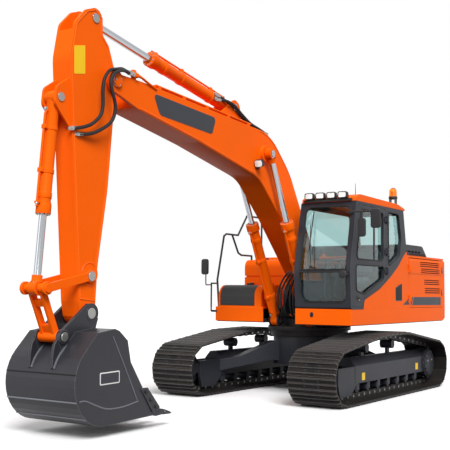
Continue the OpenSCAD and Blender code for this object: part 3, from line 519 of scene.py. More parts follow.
@dataclass(frozen=True)
class FloorFinish(Finish):
    """Pale floor that throws little light back on the object's underside."""

    def _make(self) -> Material:
        """Builds the pale face and the dimmer one that bounced light meets.

        Returns:
            The new material.
        """
        material = super()._make()
        tree = material.node_tree
        dim = add(tree, "BsdfDiffuse", {"Color": linear(FLOOR_BOUNCE)})
        self._split(tree, SEEN_RAYS, dim, tree.nodes["Principled BSDF"])
        return material


# The lighter orange along its edges is a painted edge highlight, not wear.
ORANGE = Finish(
    "orange_enamel", 0xFC6406, 0.36, coat=0.01, variation=0.10, wear=0.3, wear_and_highlight_colour=0xFF7A2C, dust=0.02,
    grain=0.05, specular=0.03,
)
CHARCOAL = Finish(
    "charcoal_enamel", 0x2B2D34, 0.42, coat=0.02, variation=0.14, wear=0.35, wear_and_highlight_colour=0x5E6068, dust=0.03,
    grain=0.08, specular=0.14,
)
SHOE_BAR = Finish(
    "shoe_bar_steel", 0x403E3D, 0.42, metallic=0.3, variation=0.5, wear=0.9, wear_and_highlight_colour=0x96918D, grain=0.35,
    grain_scale=110.0, specular=0.2, wear_and_highlight_radius=0.004,
)
TRACK = Finish(
    "track_steel_worn", 0x1F1D1D, 0.46, metallic=0.15, variation=0.5, wear=0.9, wear_and_highlight_colour=0x847D77,
    dust=0.04, grain=0.4, grain_scale=120.0, specular=0.14, wear_and_highlight_radius=0.004,
)
IRON = Finish(
    "engine_iron_cast", 0x1D1D1F, 0.55, variation=0.3, wear=0.3, wear_and_highlight_colour=0x55555A, grain=0.35,
    grain_scale=90.0, specular=0.3,
)
BUCKET = Finish(
    "bucket_steel_dark", 0x2B2C32, 0.36, metallic=0.15, variation=0.3, wear=0.55, wear_and_highlight_colour=0x85868C,
    dust=0.03, grain=0.2, grain_scale=90.0, specular=0.3,
)
PIN = Finish(
    "pin_steel_bright", 0x9C9A97, 0.34, metallic=0.85, variation=0.2, wear=0.4, wear_and_highlight_colour=0xD0CECA,
    grain=0.1,
)
CHROME = Finish("chrome_ground", 0xAEB2B6, 0.18, metallic=1.0, variation=0.12, grain=0.02, grain_scale=600.0)
WELD = Finish("weld_bead", 0x6C6E75, 0.42, metallic=0.4, variation=0.5, grain=0.4, grain_scale=160.0)
ORANGE_WELD = Finish(
    "painted_weld", 0xFF6A14, 0.4, coat=0.02, variation=0.2, grain=0.25, grain_scale=140.0, specular=0.15,
)
PLASTIC = Finish(
    "moulded_black", 0x1B1B1E, 0.5, variation=0.2, wear=0.25, wear_and_highlight_colour=0x44444A, dust=0.03, grain=0.25,
    grain_scale=420.0, specular=0.35,
)
TUBE = Finish(
    "black_tube_paint", 0x1A1A1D, 0.35, coat=0.1, variation=0.15, wear=0.3, wear_and_highlight_colour=0x4E4E54, grain=0.06,
    specular=0.35,
)
RUBBER = Finish(
    "hose_rubber", 0x141416, 0.6, variation=0.3, dust=0.04, grain=0.35, grain_scale=380.0, specular=0.3,
)
BADGE = Finish(
    "blank_badge", 0x34363C, 0.5, variation=0.12, wear=0.5, wear_and_highlight_colour=0x7A7A82, grain=0.03, specular=0.25,
)
BORDER = Finish(
    "blank_border", 0xE4E4E2, 0.45, variation=0.08, wear=0.2, wear_and_highlight_colour=0xFFFFFF, grain=0.03, specular=0.25,
)
YELLOW = Finish(
    "blank_yellow", 0xF6C60E, 0.42, variation=0.12, wear=0.2, wear_and_highlight_colour=0xF7DF7A, grain=0.04, specular=0.25,
)
# Near-black: the vent mesh's own colour, and painted shade where it stands for the dark inside of slots and
# openings.
DARK_MESH_AND_PAINTED_SHADE = Finish("vent_mesh_and_painted_shade", 0x0B0B0D, 0.6, variation=0.4, grain=0.9, grain_scale=140.0, specular=0.25)
FABRIC = Finish(
    "seat_fabric", 0x4A4D53, 0.85, variation=0.35, wear=0.2, wear_and_highlight_colour=0x6A6C72, grain=0.7,
    grain_scale=520.0,
)
MIRROR = Finish("mirror_silver", 0xD9DEE0, 0.05, metallic=1.0, variation=0.05, grain=0.0)
REFLECTOR = Finish("lamp_reflector", 0xECECEA, 0.35, metallic=0.5, variation=0.08, grain=0.05)
GLASS = ClearFinish("cab_glazing", 0xCDE4E3, 0.01)
LENS = ClearFinish("lamp_lens", 0xF2F5F5, 0.04)
AMBER = ClearFinish("beacon_amber", 0xFF8C10, 0.1)
FLOOR = FloorFinish("studio_floor", 0xFCFCFC, 0.9, variation=0.01, grain=0.02, specular=0.1)

CAD_FINISH = {
    Slot.ORANGE: ORANGE,
    Slot.CHARCOAL: CHARCOAL,
    Slot.TRACK: TRACK,
    Slot.IRON: IRON,
    Slot.GLASS: GLASS,
    Slot.SEAT: FABRIC,
    Slot.PLASTIC: PLASTIC,
    Slot.TUBE: TUBE,
    Slot.PIN: PIN,
    Slot.CHROME: CHROME,
    Slot.BUCKET: BUCKET,
}


def soft(points: Sequence[Point], steps: int = 6) -> Outline:
    """Rounds the corners of a closed outline.

    Args:
        points: Corners as (x, z, radius).
        steps: Arc pieces per corner.

    Returns:
        The rounded outline.
    """
    rounded: Outline = []
    count = len(points)
    for i, (x, z, radius) in enumerate(points):
        here = Vector((x, z))
        if radius <= 0:
            rounded.append((x, z))
            continue
        back = (Vector(points[i - 1][:2]) - here).normalized()
        ahead = (Vector(points[(i + 1) % count][:2]) - here).normalized()
        half = back.angle(ahead) / 2
        centre = here + (back + ahead).normalized() * (radius / math.sin(half))
        first = here + back * (radius / math.tan(half)) - centre
        last = here + ahead * (radius / math.tan(half)) - centre
        start = math.atan2(first.y, first.x)
        sweep = (math.atan2(last.y, last.x) - start + math.pi) % (math.tau) - math.pi
        for k in range(steps + 1):
            a = start + sweep * k / steps
            rounded.append((centre.x + radius * math.cos(a), centre.y + radius * math.sin(a)))
    return rounded


def round_rect(width: float, height: float, radius: float, steps: int = 4) -> Outline:
    """Outline of a rectangle with round corners, about its middle.

    Args:
        width: Size along the first axis.
        height: Size along the second.
        radius: Corner radius.
        steps: Arc pieces per corner.

    Returns:
        The outline.
    """
    w, h = width / 2, height / 2
    r = max(1e-5, min(radius, w - 1e-5, h - 1e-5))
    return soft([(-w, -h, r), (w, -h, r), (w, h, r), (-w, h, r)], steps)


def smooth_path(points: Sequence[Point], step: float) -> list[Vector]:
    """Smooth curve through points, sampled about every step.

    Args:
        points: Points that the curve passes.
        step: Wanted distance between samples.

    Returns:
        The sampled curve.
    """
    ends = [Vector(p) for p in points]
    ring = [ends[0] * 2 - ends[1]] + ends + [ends[-1] * 2 - ends[-2]]
    curve: list[Vector] = []
    for a, b, c, d in zip(ring, ring[1:], ring[2:], ring[3:]):
        count = max(1, round((c - b).length / step))
        for k in range(count):
            t = k / count
            square, cube = 2 * a - 5 * b + 4 * c - d, 3 * b - a - 3 * c + d
            curve.append(0.5 * (2 * b + (c - a) * t + square * t * t + cube * t ** 3))
    return curve + [ends[-1]]


def inset(outline: Outline, depth: float) -> list[Vector]:
    """Moves a closed outline that runs anticlockwise inwards.

    Args:
        outline: The outline.
        depth: How far it moves.

    Returns:
        The moved points.
    """
    points = [Vector(p) for p in outline]
    moved = []
    for i, here in enumerate(points):
        ahead = (points[(i + 1) % len(points)] - points[i - 1]).normalized()
        moved.append(here + Vector((-ahead.y, ahead.x)) * depth)
    return moved


def refine(run: Sequence[Vector], step: float) -> list[Vector]:
    """Splits a path into pieces of about one step.

    Args:
        run: Points of the path.
        step: Wanted length of a piece.

    Returns:
        The denser path.
    """
    dense = []
    for a, b in zip(run, run[1:]):
        steps = max(1, round((b - a).length / step))
        dense += [a.lerp(b, k / steps) for k in range(steps)]
    return dense + [run[-1]]


class Shape:
    """Faces that grow piece by piece into one object, each with its finish."""

    def __init__(self, finish: Finish) -> None:
        """Starts an empty shape.

        Args:
            finish: Finish of the first faces.
        """
        self.verts: list[Vector] = []
        self.faces: list[list[int]] = []
        self.marks: list[int] = []
        self.finishes: list[Finish] = [finish]
        self.mark = 0

    def use(self, finish: Finish) -> "Shape":
        """Gives the faces that follow another finish.

        Args:
            finish: The finish.

        Returns:
            This shape.
        """
        if finish not in self.finishes:
            self.finishes.append(finish)
        self.mark = self.finishes.index(finish)
        return self

    def loft(self, rings: Sequence[Sequence[Vector]], caps: bool = True, loop: bool = False) -> None:
        """Joins rings of equal length into a skin.

        Args:
            rings: The rings, in order.
            caps: Whether the two end rings are closed.
            loop: Whether the last ring joins the first.
        """
        base = len(self.verts)
        n = len(rings[0])
        for ring in rings:
            self.verts.extend(ring)
        pairs = [(k, k + 1) for k in range(len(rings) - 1)] + ([(len(rings) - 1, 0)] if loop else [])
        for low, high in pairs:
            for i in range(n):
                j = (i + 1) % n
                self._face([base + low * n + i, base + low * n + j, base + high * n + j, base + high * n + i])
        if caps and not loop:
            self._face([base + i for i in reversed(range(n))])
            self._face([base + (len(rings) - 1) * n + i for i in range(n)])

    def _face(self, corners: list[int]) -> None:
        """Adds one face with the finish in use."""
        self.faces.append(corners)
        self.marks.append(self.mark)

    def slab(self, outline: Outline, y0: float, y1: float) -> None:
        """Plate with an outline in the X-Z plane, from y0 to y1."""
        self.loft([[Vector((x, y, z)) for x, z in outline] for y in (y0, y1)])

    def pillow(self, place: Matrix, size: Point, corner: float, edge: float, steps: int = 3) -> None:
        """Block with round corners in its X-Y plane and rounded edges along Z.

        Args:
            place: Where the middle of the block goes.
            size: Full sizes along the place's X, Y and Z.
            corner: Corner radius in the plane.
            edge: Radius of the edges.
            steps: Steps round each edge.
        """
        rings = []
        for side in (-1, 1):
            for k in range(steps + 1):
                a = math.pi / 2 * (k if side < 0 else steps - k) / steps
                shrink = edge * (1 - math.sin(a))
                z = side * (size[2] / 2 - edge * (1 - math.cos(a)))
                flat = round_rect(size[0] - 2 * shrink, size[1] - 2 * shrink, max(corner - shrink, 1e-4))
                rings.append([place @ Vector((x, y, z)) for x, y in flat])
        self.loft(rings)

    def lathe(self, place: Matrix, profile: Sequence[Pair], sides: int = 32, caps: bool = True) -> None:
        """Turned form about the place's Z axis.

        Args:
            place: Where the axis starts.
            profile: Points as (height, radius).
            sides: Corners round the axis.
            caps: Whether both ends are closed.
        """
        turn = [math.tau * i / sides for i in range(sides)]
        self.loft(
            [[place @ Vector((r * math.cos(a), r * math.sin(a), h)) for a in turn] for h, r in profile], caps,
        )

    def tube(
        self, path: Sequence[Vector], radius: float, sides: int = 12, ripple: float = 0.0, loop: bool = False,
    ) -> None:
        """Round bar along a path, with an optional ripple like a weld bead.

        Args:
            path: Points of the centre line.
            radius: Radius of the bar.
            sides: Corners round it.
            ripple: Share by which every other ring swells.
            loop: Whether the path closes on itself.
        """
        rings = []
        count = len(path)
        turn = [math.tau * k / sides for k in range(sides)]
        normal: Optional[Vector] = None
        for i, here in enumerate(path):
            back = path[i - 1] if i or loop else here
            ahead = path[(i + 1) % count] if i + 1 < count or loop else here
            tangent = (ahead - back).normalized()
            if normal is None:
                normal = tangent.orthogonal().normalized()
            normal = (normal - tangent * normal.dot(tangent)).normalized()
            side = tangent.cross(normal)
            r = radius * (1 + ripple * (i % 2))
            rings.append([here + (normal * math.cos(a) + side * math.sin(a)) * r for a in turn])
        self.loft(rings, loop=loop)

    def pipe(
        self, points: Sequence[Point], step: float, radius: float, sides: int, ripple: float = 0.0,
    ) -> None:
        """Round bar along the smooth curve through some points, sampled about every step."""
        self.tube(smooth_path(points, step), radius, sides, ripple)

    def bolt(self, place: Matrix, radius: float, height: float) -> None:
        """Hexagon head with a chamfer on a washer, standing on the place's X-Y plane.

        Args:
            place: Frame whose Z the bolt follows.
            radius: Radius of the head.
            height: Height of head and washer.
        """
        washer, under, shoulder, crown = radius * 1.35, height * 0.18, height * 0.85, radius * 0.82
        self.lathe(
            place, [(0, washer), (under, washer), (under, radius), (shoulder, radius), (height, crown)], 6,
        )

    def build(self, name: str, body: Optional[Body], slot: Slot, bevel: float = 0.0) -> Piece:
        """Makes the object and lets it ride on its body.

        Args:
            name: Name of the piece.
            body: Body that carries it, or none where it bends across a joint.
            slot: Material slot of the record; not used.
            bevel: Width of rounded edges, or nothing.

        Returns:
            The new object.
        """
        mesh = bpy.data.meshes.new(name)
        mesh.from_pydata([tuple(v) for v in self.verts], [], self.faces)
        for finish in self.finishes:
            mesh.materials.append(finish.material())
        mesh.polygons.foreach_set("material_index", self.marks)
        work = bmesh.new()
        work.from_mesh(mesh)
        bmesh.ops.recalc_face_normals(work, faces=work.faces)
        work.to_mesh(mesh)
        work.free()
        mesh.polygons.foreach_set("use_smooth", [True] * len(mesh.polygons))
        mesh.set_sharp_from_angle(angle=SHARP_ANGLE)
        piece = show(name, mesh)
        if bevel > 0:
            edges = piece.modifiers.new("edges", "BEVEL")
            edges.width = bevel
            edges.segments = 2
            edges.limit_method = "ANGLE"
            edges.angle_limit = BEVEL_ANGLE
        if body is not None:
            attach(piece, body.value)
        return piece


def show(name: str, data: bpy.types.ID) -> Piece:
    """Puts a new object into the scene.

    Args:
        name: Its name.
        data: Its mesh, camera or lamp.

    Returns:
        The object.
    """
    piece = bpy.data.objects.new(name, data)
    bpy.context.scene.collection.objects.link(piece)
    return piece


def facing(at: Point, normal: Point, along: Point = UP) -> Matrix:
    """Frame at a point whose Z looks along a normal and whose Y follows a direction.

    Args:
        at: Origin of the frame.
        normal: Direction of its Z.
        along: Direction that its Y follows as closely as it can.

    Returns:
        The frame as a matrix.
    """
    z = Vector(normal).normalized()
    guide = Vector(along)
    if abs(guide.normalized().dot(z)) > 0.99:
        guide = Vector(FORWARD)
    x = guide.cross(z).normalized()
    y = z.cross(x)
    turned = Matrix((x, y, z)).transposed().to_4x4()
    return Matrix.Translation(Vector(at)) @ turned


def lift(place: Matrix, height: float) -> Matrix:
    """Moves a frame along its own Z."""
    return place @ Matrix.Translation((0, 0, height))


@dataclass(frozen=True)
class Skeleton:
    """Pins and angles of the boom, arm and bucket, in the side view."""

    foot: Pair = (0.023, 1.643)
    boom_angle: float = math.radians(25)
    boom_length: float = 5.7
    arm_angle: float = math.radians(-82.9)
    arm_length: float = 2.735
    boom_half: float = 0.2
    arm_half: float = 0.135

    @staticmethod
    def _turn(x: float, z: float, angle: float) -> Pair:
        """Turns a side-view point about the origin."""
        return x * math.cos(angle) - z * math.sin(angle), x * math.sin(angle) + z * math.cos(angle)

    def on_boom(self, x: float, z: float, y: float = 0.0) -> Vector:
        """World place of a point in the boom's own axes."""
        dx, dz = self._turn(x, z, self.boom_angle)
        return Vector((self.foot[0] + dx, y, self.foot[1] + dz))

    def on_arm(self, x: float, z: float, y: float = 0.0) -> Vector:
        """World place of a point in the arm's own axes.

        Args:
            x: Along the arm from the nose pin.
            z: Square to it, in the side view.
            y: Across.

        Returns:
            The place.
        """
        nose = self.on_boom(self.boom_length, 0)
        dx, dz = self._turn(x, z, self.arm_angle)
        return Vector((nose.x + dx, y, nose.z + dz))

    def at_tip(self, x: float, z: float, y: float = 0.0) -> Vector:
        """World place of a point measured from the bucket pin."""
        tip = self.on_arm(self.arm_length, 0)
        return Vector((tip.x + x, y, tip.z + z))


BONES = Skeleton()


@dataclass(frozen=True)
class Studio:
    """Camera at the photograph's viewing angle, floor and soft light."""

    eye: tuple[float, float, float] = (12.94216, 6.88767, 1.57562)
    yaw: float = 3.727617
    pitch: float = 0.0787082
    roll: float = 0.0089621
    lens: float = 70.057
    shift: Pair = (0.00096, -0.00193)
    sensor: float = 36.0
    far: float = 200.0
    reach: float = 70.0
    ambient: float = 0.6
    key: float = 3.4
    fill: float = 0.35
    key_from: tuple[float, float, float] = (0.55, 0.52, 0.66)
    fill_from: tuple[float, float, float] = (0.9, -0.5, 0.3)
    softness: float = math.radians(30)

    def build(self) -> None:
        """Makes camera, floor, lights and world."""
        self._camera()
        self._floor()
        self._lights()
        self._world()

    def _camera(self) -> None:
        """Places the camera."""
        flat = math.cos(self.pitch)
        view = Vector((math.cos(self.yaw) * flat, math.sin(self.yaw) * flat, math.sin(self.pitch)))
        level = view.cross(Vector(UP)).normalized()
        rise = level.cross(view)
        right = level * math.cos(self.roll) + rise * math.sin(self.roll)
        up = rise * math.cos(self.roll) - level * math.sin(self.roll)
        data = bpy.data.cameras.new("photo_view")
        data.lens = self.lens
        data.sensor_width = self.sensor
        data.shift_x, data.shift_y = self.shift
        data.clip_end = self.far
        camera = show("photo_view", data)
        camera.matrix_world = Matrix.Translation(self.eye) @ Matrix((right, up, -view)).transposed().to_4x4()
        bpy.context.scene.camera = camera

    def _floor(self) -> None:
        """Lays a wide pale floor."""
        mesh = bpy.data.meshes.new("floor")
        corners = [(x * self.reach, y * self.reach, 0) for x, y in ((-1, -1), (1, -1), (1, 1), (-1, 1))]
        mesh.from_pydata(corners, [], [(0, 1, 2, 3)])
        mesh.materials.append(FLOOR.material())
        show("floor", mesh)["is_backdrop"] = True

    def _lights(self) -> None:
        """Adds a soft key light from above the camera and a weak fill."""
        for name, power, source in (("key", self.key, self.key_from), ("fill", self.fill, self.fill_from)):
            data = bpy.data.lights.new(name, "SUN")
            data.energy = power
            data.angle = self.softness
            lamp = show(name, data)
            lamp.rotation_mode = "QUATERNION"
            lamp.rotation_quaternion = Vector(source).to_track_quat("Z", "Y")

    def _world(self) -> None:
        """White surroundings for what the camera and gloss see, softer for the light."""
        world = bpy.data.worlds.new("studio")
        bpy.context.scene.world = world
        world.use_nodes = True
        tree = world.node_tree
        strength = add(
            tree, "MapRange", {"Value": any_ray(tree, SEEN_RAYS), "To Min": self.ambient, "To Max": 1.0},
        )
        feed(tree.nodes["Background"], {"Color": (1, 1, 1, 1), "Strength": strength.outputs["Result"]})
        bpy.context.scene.view_settings.view_transform = "Standard"


@dataclass(frozen=True)
class CadDresser:
    """Gives the CAD nodes their finishes and small rounded edges."""

    edge: float = 0.006
    merge: float = 0.00005
    flat: float = math.radians(1.0)
    round_nodes: tuple[tuple[str, float], ...] = (
        ("cab_roof", 0.03), ("engine_hood", 0.035), ("tanks", 0.03), ("counterweight", 0.03),
    )

    def build(self) -> None:
        """Dresses every CAD node."""
        slots = {slot.value: finish for slot, finish in CAD_FINISH.items()}
        for name, node in frame["nodes"].items():
            for holder in node.material_slots:
                base = holder.material.name.split(".")[0] if holder.material else ""
                finish = slots.get(base)
                if finish is None:
                    LOG.info("node %s has a slot named %s", name, base)
                    continue
                holder.material = finish.material()
            self._edges(node)

    def _edges(self, node: Piece) -> None:
        """Rounds the node's sharp edges for the light to catch.

        Args:
            node: The CAD node.
        """
        weld = node.modifiers.new("weld", "WELD")
        weld.merge_threshold = self.merge
        flat = node.modifiers.new("flat", "DECIMATE")
        flat.decimate_type = "DISSOLVE"
        flat.angle_limit = self.flat
        edges = node.modifiers.new("edges", "BEVEL")
        edges.width = dict(self.round_nodes).get(node.name, self.edge)
        edges.segments = 3
        edges.limit_method = "ANGLE"
        edges.angle_limit = BEVEL_ANGLE


@dataclass(frozen=True)
class TrackChain:
    """Loop of shoes, link plates and pins on one side."""

    side: int
    name: str
    node: str
    half_base: float = 1.82
    radius: float = 0.32
    wheel_z: float = 0.405
    centre_y: float = 1.19
    width: float = 0.75
    shoes: int = 49
    link_half: float = 0.045
    face: float = 0.059
    tip: float = 0.0845
    front: Pair = (0.56, 0.89)
    rear: Pair = (-0.43, 0.91)
    lap: float = 0.09
    # Start and end of a bar's foot and of its crest in shares of the pitch, and how much lower it is
    bars: tuple[tuple[float, float, float, float, float], ...] = (
        (0.03, 0.175, 0.068, 0.122, 0.0), (0.462, 0.588, 0.5, 0.55, 0.002), (0.845, 0.972, 0.9, 0.95, 0.0),
    )
    # Distance from a shoe's end, and share of a bar's height there
    bar_ends: tuple[Pair, ...] = ((0.001, 0.35), (0.012, 0.8), (0.035, 1.0))
    # Places of the bolts in shares of the pitch
    bolt_rows: Pair = (0.32, 0.715)
    bolt_y: float = 0.105
    bolt: Pair = (0.0135, 0.016)
    # Size of the flat near-black patch of painted shade that stands for each slot
    slot: tuple[float, float, float] = (0.048, 0.12, 0.002)
    plate_y: Pair = (-0.094, 0.068)
    plate: float = 0.026
    stagger: float = 0.004
    bush: float = 0.021
    bush_half: float = 0.095

    def _pins(self) -> list[Vector]:
        """Places of the chain's pins round the loop, in the side view.

        Returns:
            One place per shoe.
        """
        idler, drive = Vector((self.half_base, self.wheel_z)), Vector((-self.half_base, self.wheel_z))
        front, rear = Vector(self.front), Vector(self.rear)
        to_front, to_rear = front - idler, rear - drive
        leave = math.atan2(to_front.y, to_front.x) - math.acos(self.radius / to_front.length)
        arrive = math.atan2(to_rear.y, to_rear.x) + math.acos(self.radius / to_rear.length)
        off = idler + self.radius * Vector((math.cos(leave), math.sin(leave)))
        on = drive + self.radius * Vector((math.cos(arrive), math.sin(arrive)))
        low = self.wheel_z - self.radius

        def line(a: Vector, b: Vector) -> tuple:
            """Straight run between two points, as its length and the place at a distance along it."""
            return (b - a).length, lambda d: a + (b - a).normalized() * d

        def bend(c: Vector, first: float, last: float) -> tuple:
            """Run round a wheel, as its length and the place at a distance along it.

            Args:
                c: The wheel's centre.
                first: Angle where the run starts.
                last: Angle where it ends.

            Returns:
                The length and the function of the distance.
            """

            def place(d: float) -> Vector:
                """Point at a distance along the run."""
                a = first + d / self.radius
                return c + self.radius * Vector((math.cos(a), math.sin(a)))

            return self.radius * (last - first), place

        runs = [
            line(Vector((-self.half_base, low)), Vector((self.half_base, low))),
            bend(idler, -math.pi / 2, leave),
            line(off, front),
            line(front, rear),
            line(rear, on),
            bend(drive, arrive, math.pi * 1.5),
        ]
        pitch = sum(run[0] for run in runs) / self.shoes
        pins = []
        for k in range(self.shoes):
            d = k * pitch
            for length, place in runs:
                if d <= length:
                    pins.append(place(d))
                    break
                d -= length
        return pins

    def build(self) -> None:
        """Makes the whole loop as one piece."""
        shape = Shape(TRACK)
        pins = self._pins()
        for k, a in enumerate(pins):
            b = pins[(k + 1) % len(pins)]
            t = (b - a).normalized()
            out = Vector((t.y, -t.x))
            pitch = (b - a).length
            self._shoe(shape, a, t, out, pitch)
            self._link(shape, a, t, out, pitch, k)
        piece = shape.build(self.name, Body.UNDERCARRIAGE, Slot.TRACK)
        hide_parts(self.node)

    def _at(self, a: Vector, t: Vector, out: Vector, s: float, h: float, y: float) -> Vector:
        """World place of a point on a link: along it, out of it and across."""
        p = a + t * s + out * h
        return Vector((p.x, self.side * self.centre_y + y, p.y))

    def _shoe(self, shape: Shape, a: Vector, t: Vector, out: Vector, pitch: float) -> None:
        """One plate with three bars whose ends taper, four bolts, and two flat near-black patches of painted
        shade where its slots are.

        Args:
            shape: Shape that takes the shoe.
            a: The shoe's first pin, in the side view.
            t: Direction to the next pin.
            out: Direction away from the loop.
            pitch: Distance between the pins.
        """
        f, half = self.face, self.width / 2
        low = self.link_half + 0.001
        plate = [
            (-self.lap, low - 0.004), (1 + self.lap, low - 0.004), (1 + self.lap, low + 0.004),
            (0.99, low + 0.006), (0.985, f - 0.003), (0.955, f),
            (0.045, f), (0.015, f - 0.003), (0.01, low + 0.006), (-self.lap, low + 0.004),
        ]
        shape.use(TRACK).loft([
            [self._at(a, t, out, s * pitch, v, y) for s, v in plate]
            for y in (-half, half)
        ])
        ends = [(d - half, keep) for d, keep in self.bar_ends]
        ends += [(-y, keep) for y, keep in reversed(ends)]
        for start, end, first, last, drop in self.bars:
            top = self.tip - drop
            shoulder = top - 0.006
            bar = [
                (start, f - 0.002), (end, f - 0.002), (end, f), (last + 0.012, shoulder),
                (last, top), (first, top), (first - 0.012, shoulder), (start, f),
            ]
            rings = []
            for y, keep in ends:
                cut = [(s, f + (v - f) * keep if v > f else v) for s, v in bar]
                rings.append([self._at(a, t, out, s * pitch, v, y) for s, v in cut])
            shape.use(SHOE_BAR).loft(rings)
        normal = Vector((out.x, 0, out.y))
        shape.use(IRON)
        for y in (-self.bolt_y, self.bolt_y):
            for s in self.bolt_rows:
                at = self._at(a, t, out, s * pitch, f - 0.001, y)
                shape.bolt(facing(at, normal, LEFT), *self.bolt)
        # Painted shade: flat near-black patches stand for the shade inside the slots.
        shape.use(DARK_MESH_AND_PAINTED_SHADE)
        for s in self.bolt_rows:
            at = self._at(a, t, out, s * pitch, f + 0.0004, 0.0)
            shape.pillow(facing(at, normal, LEFT), self.slot, 0.01, 0.0006, 1)

    def _link(self, shape: Shape, a: Vector, t: Vector, out: Vector, pitch: float, k: int) -> None:
        """Two waisted link plates and the bush between them.

        Args:
            shape: Shape that takes the link.
            a: The link's first pin, in the side view.
            t: Direction to the next pin.
            out: Direction away from the loop.
            pitch: Distance between the pins.
            k: Number of the link, because every other one is narrower.
        """
        r, waist = self.link_half - 0.002, self.link_half - 0.012
        outline = []
        for centre, first in ((0.0, math.pi / 2), (1.0, -math.pi / 2)):
            for i in range(7):
                angle = first + math.pi * i / 6
                outline.append((centre * pitch + r * math.cos(angle), r * math.sin(angle)))
            outline.append((0.5 * pitch, -waist if centre == 0.0 else waist))
        shape.use(TRACK)
        step = self.stagger if k % 2 else 0.0
        for y in (self.plate_y[0] + step, self.plate_y[1] - step):
            shape.loft([[self._at(a, t, out, s, v, y + d) for s, v in outline] for d in (0.0, self.plate)])
        shape.use(PIN)
        bush = [
            (self.bush * math.cos(w), self.bush * math.sin(w))
            for w in (math.pi * i / 5 for i in range(10))
        ]
        shape.loft([
            [self._at(a, t, out, s, v, y) for s, v in bush]
            for y in (-self.bush_half, self.bush_half)
        ])


@dataclass(frozen=True)
class UndercarriageDetail:
    """Bolts on the drives and the bearing, and the blank squares on the frames."""

    drive: Pair = (-1.82, 0.405)
    gauge: float = 1.19
    # Radius, number of bolts, size of a bolt and how far out the ring lies
    drive_rings: tuple[tuple[float, int, float, float], ...] = (
        (0.222, 20, 0.013, 0.170), (0.165, 12, 0.012, 0.195),
    )
    plug_ring: float = 0.1
    plugs: Pair = (0.4, 2.6)
    bearing_ring: float = 0.655
    bearing_top: float = 1.05
    bearing_bolts: int = 48
    squares: tuple[Pair, ...] = ((0.808, 0.359), (-1.329, 0.375))

    def build(self) -> None:
        """Makes the bolts and squares."""
        bolts = Shape(IRON)
        for side in (-1, 1):
            self._drive(bolts, side)
        for i in range(self.bearing_bolts):
            a = math.tau * i / self.bearing_bolts
            at = (self.bearing_ring * math.cos(a), self.bearing_ring * math.sin(a), self.bearing_top)
            bolts.bolt(facing(at, UP), 0.013, 0.014)
        bolts.build("undercarriage_bolts", Body.UNDERCARRIAGE, Slot.TRACK)
        squares = Shape(YELLOW)
        for side in (-1, 1):
            for x, z in self.squares:
                place = facing((x, side * (self.gauge + 0.151), z), (0, side, 0))
                squares.pillow(place, (0.11, 0.11, 0.002), 0.006, 0.0008, 1)
        squares.build("blank_squares", Body.UNDERCARRIAGE, Slot.PLASTIC)

    def _on_drive(self, side: int, ring: float, angle: float, reach: float) -> Matrix:
        """Frame on a drive's outer face, at a radius and an angle."""
        x, z = self.drive[0] + ring * math.cos(angle), self.drive[1] + ring * math.sin(angle)
        return facing((x, side * (self.gauge + reach), z), (0, side, 0))

    def _drive(self, bolts: Shape, side: int) -> None:
        """Bolts, hub cover and plugs of one drive.

        Args:
            bolts: Shape that takes them.
            side: 1 on the left, -1 on the right.
        """
        for ring, count, size, reach in self.drive_rings:
            for i in range(count):
                bolts.bolt(self._on_drive(side, ring, math.tau * i / count, reach), size, 0.016)
        cover = [(0, 0.13), (0.004, 0.13), (0.008, 0.09), (0.009, 0.03), (0.010, 0.0)]
        bolts.use(CHARCOAL).lathe(self._on_drive(side, 0.0, 0.0, 0.194), cover, 40)
        bolts.use(PIN)
        for a in self.plugs:
            bolts.bolt(self._on_drive(side, self.plug_ring, a, 0.196), 0.018, 0.012)
        bolts.use(IRON)


@dataclass(frozen=True)
class CabLines:
    """Sizes and side-view outlines of the cab."""

    left: float = 1.364
    right: float = 0.436
    base: float = 1.355
    top: float = 2.965
    front: float = 1.275
    rear: float = -0.85
    mid: float = 1.92
    pillar: float = -0.008

    def screen(self, z: float) -> float:
        """X of the windscreen's face at a height.

        Args:
            z: The height.

        Returns:
            The X value.
        """
        if z > self.mid:
            return self.front + 0.04 - 0.23 * (z - self.mid) / (self.top - self.mid)
        return self.front + 0.04 - 0.04 * (self.mid - z) / (self.mid - self.base)

    def back(self, z: float) -> float:
        """X of the rear wall at a height."""
        knee = self.top - 0.61
        return self.rear + max(0.0, 0.12 * (z - knee) / 0.61)

    def door_high(self) -> Outline:
        """Upper window of the door.

        Returns:
            The outline in the side view.
        """
        low, knee, high = self.mid + 0.18, self.mid + 0.48, self.top - 0.1
        x = self.pillar + 0.115
        front = [(self.screen(z) - 0.19, z, r) for z, r in ((low, 0.06), (knee, 0.3), (high, 0.09))]
        return soft([(x, low, 0.06), *front, (x, high, 0.06)])

    def door_low(self) -> Outline:
        """Lower window of the door.

        Returns:
            The outline in the side view.
        """
        x, base, high = self.pillar + 0.1, self.base, self.mid + 0.1
        return soft([
            (x, base + 0.465, 0.02), (0.806, base + 0.225, 0.06),
            (self.screen(base + 0.03) - 0.175, base + 0.275, 0.06),
            (self.screen(high) - 0.19, high, 0.06), (x, high, 0.06),
        ])

    def quarter(self) -> Outline:
        """Rear side window on the left.

        Returns:
            The outline in the side view.
        """
        x, rear, high = self.pillar - 0.095, self.rear, self.top - 0.07
        return soft([
            (x, self.base + 0.66, 0.05), (x, high, 0.06), (rear + 0.33, high, 0.09),
            (rear + 0.23, self.top - 0.48, 0.2), (rear + 0.29, self.base + 0.86, 0.12),
        ])

    def right_side(self) -> Outline:
        """Large window on the right.

        Returns:
            The outline in the side view.
        """
        low, high, rear = self.base + 0.42, self.top - 0.07, self.rear
        front = [(self.screen(z) - 0.105, z, r) for z, r in ((low, 0.06), (self.mid, 0.2), (high, 0.06))]
        return soft([
            (rear + 0.15, low, 0.06), *front, (rear + 0.24, high, 0.06), (rear + 0.15, self.top - 0.48, 0.15),
        ])


CAB = CabLines()


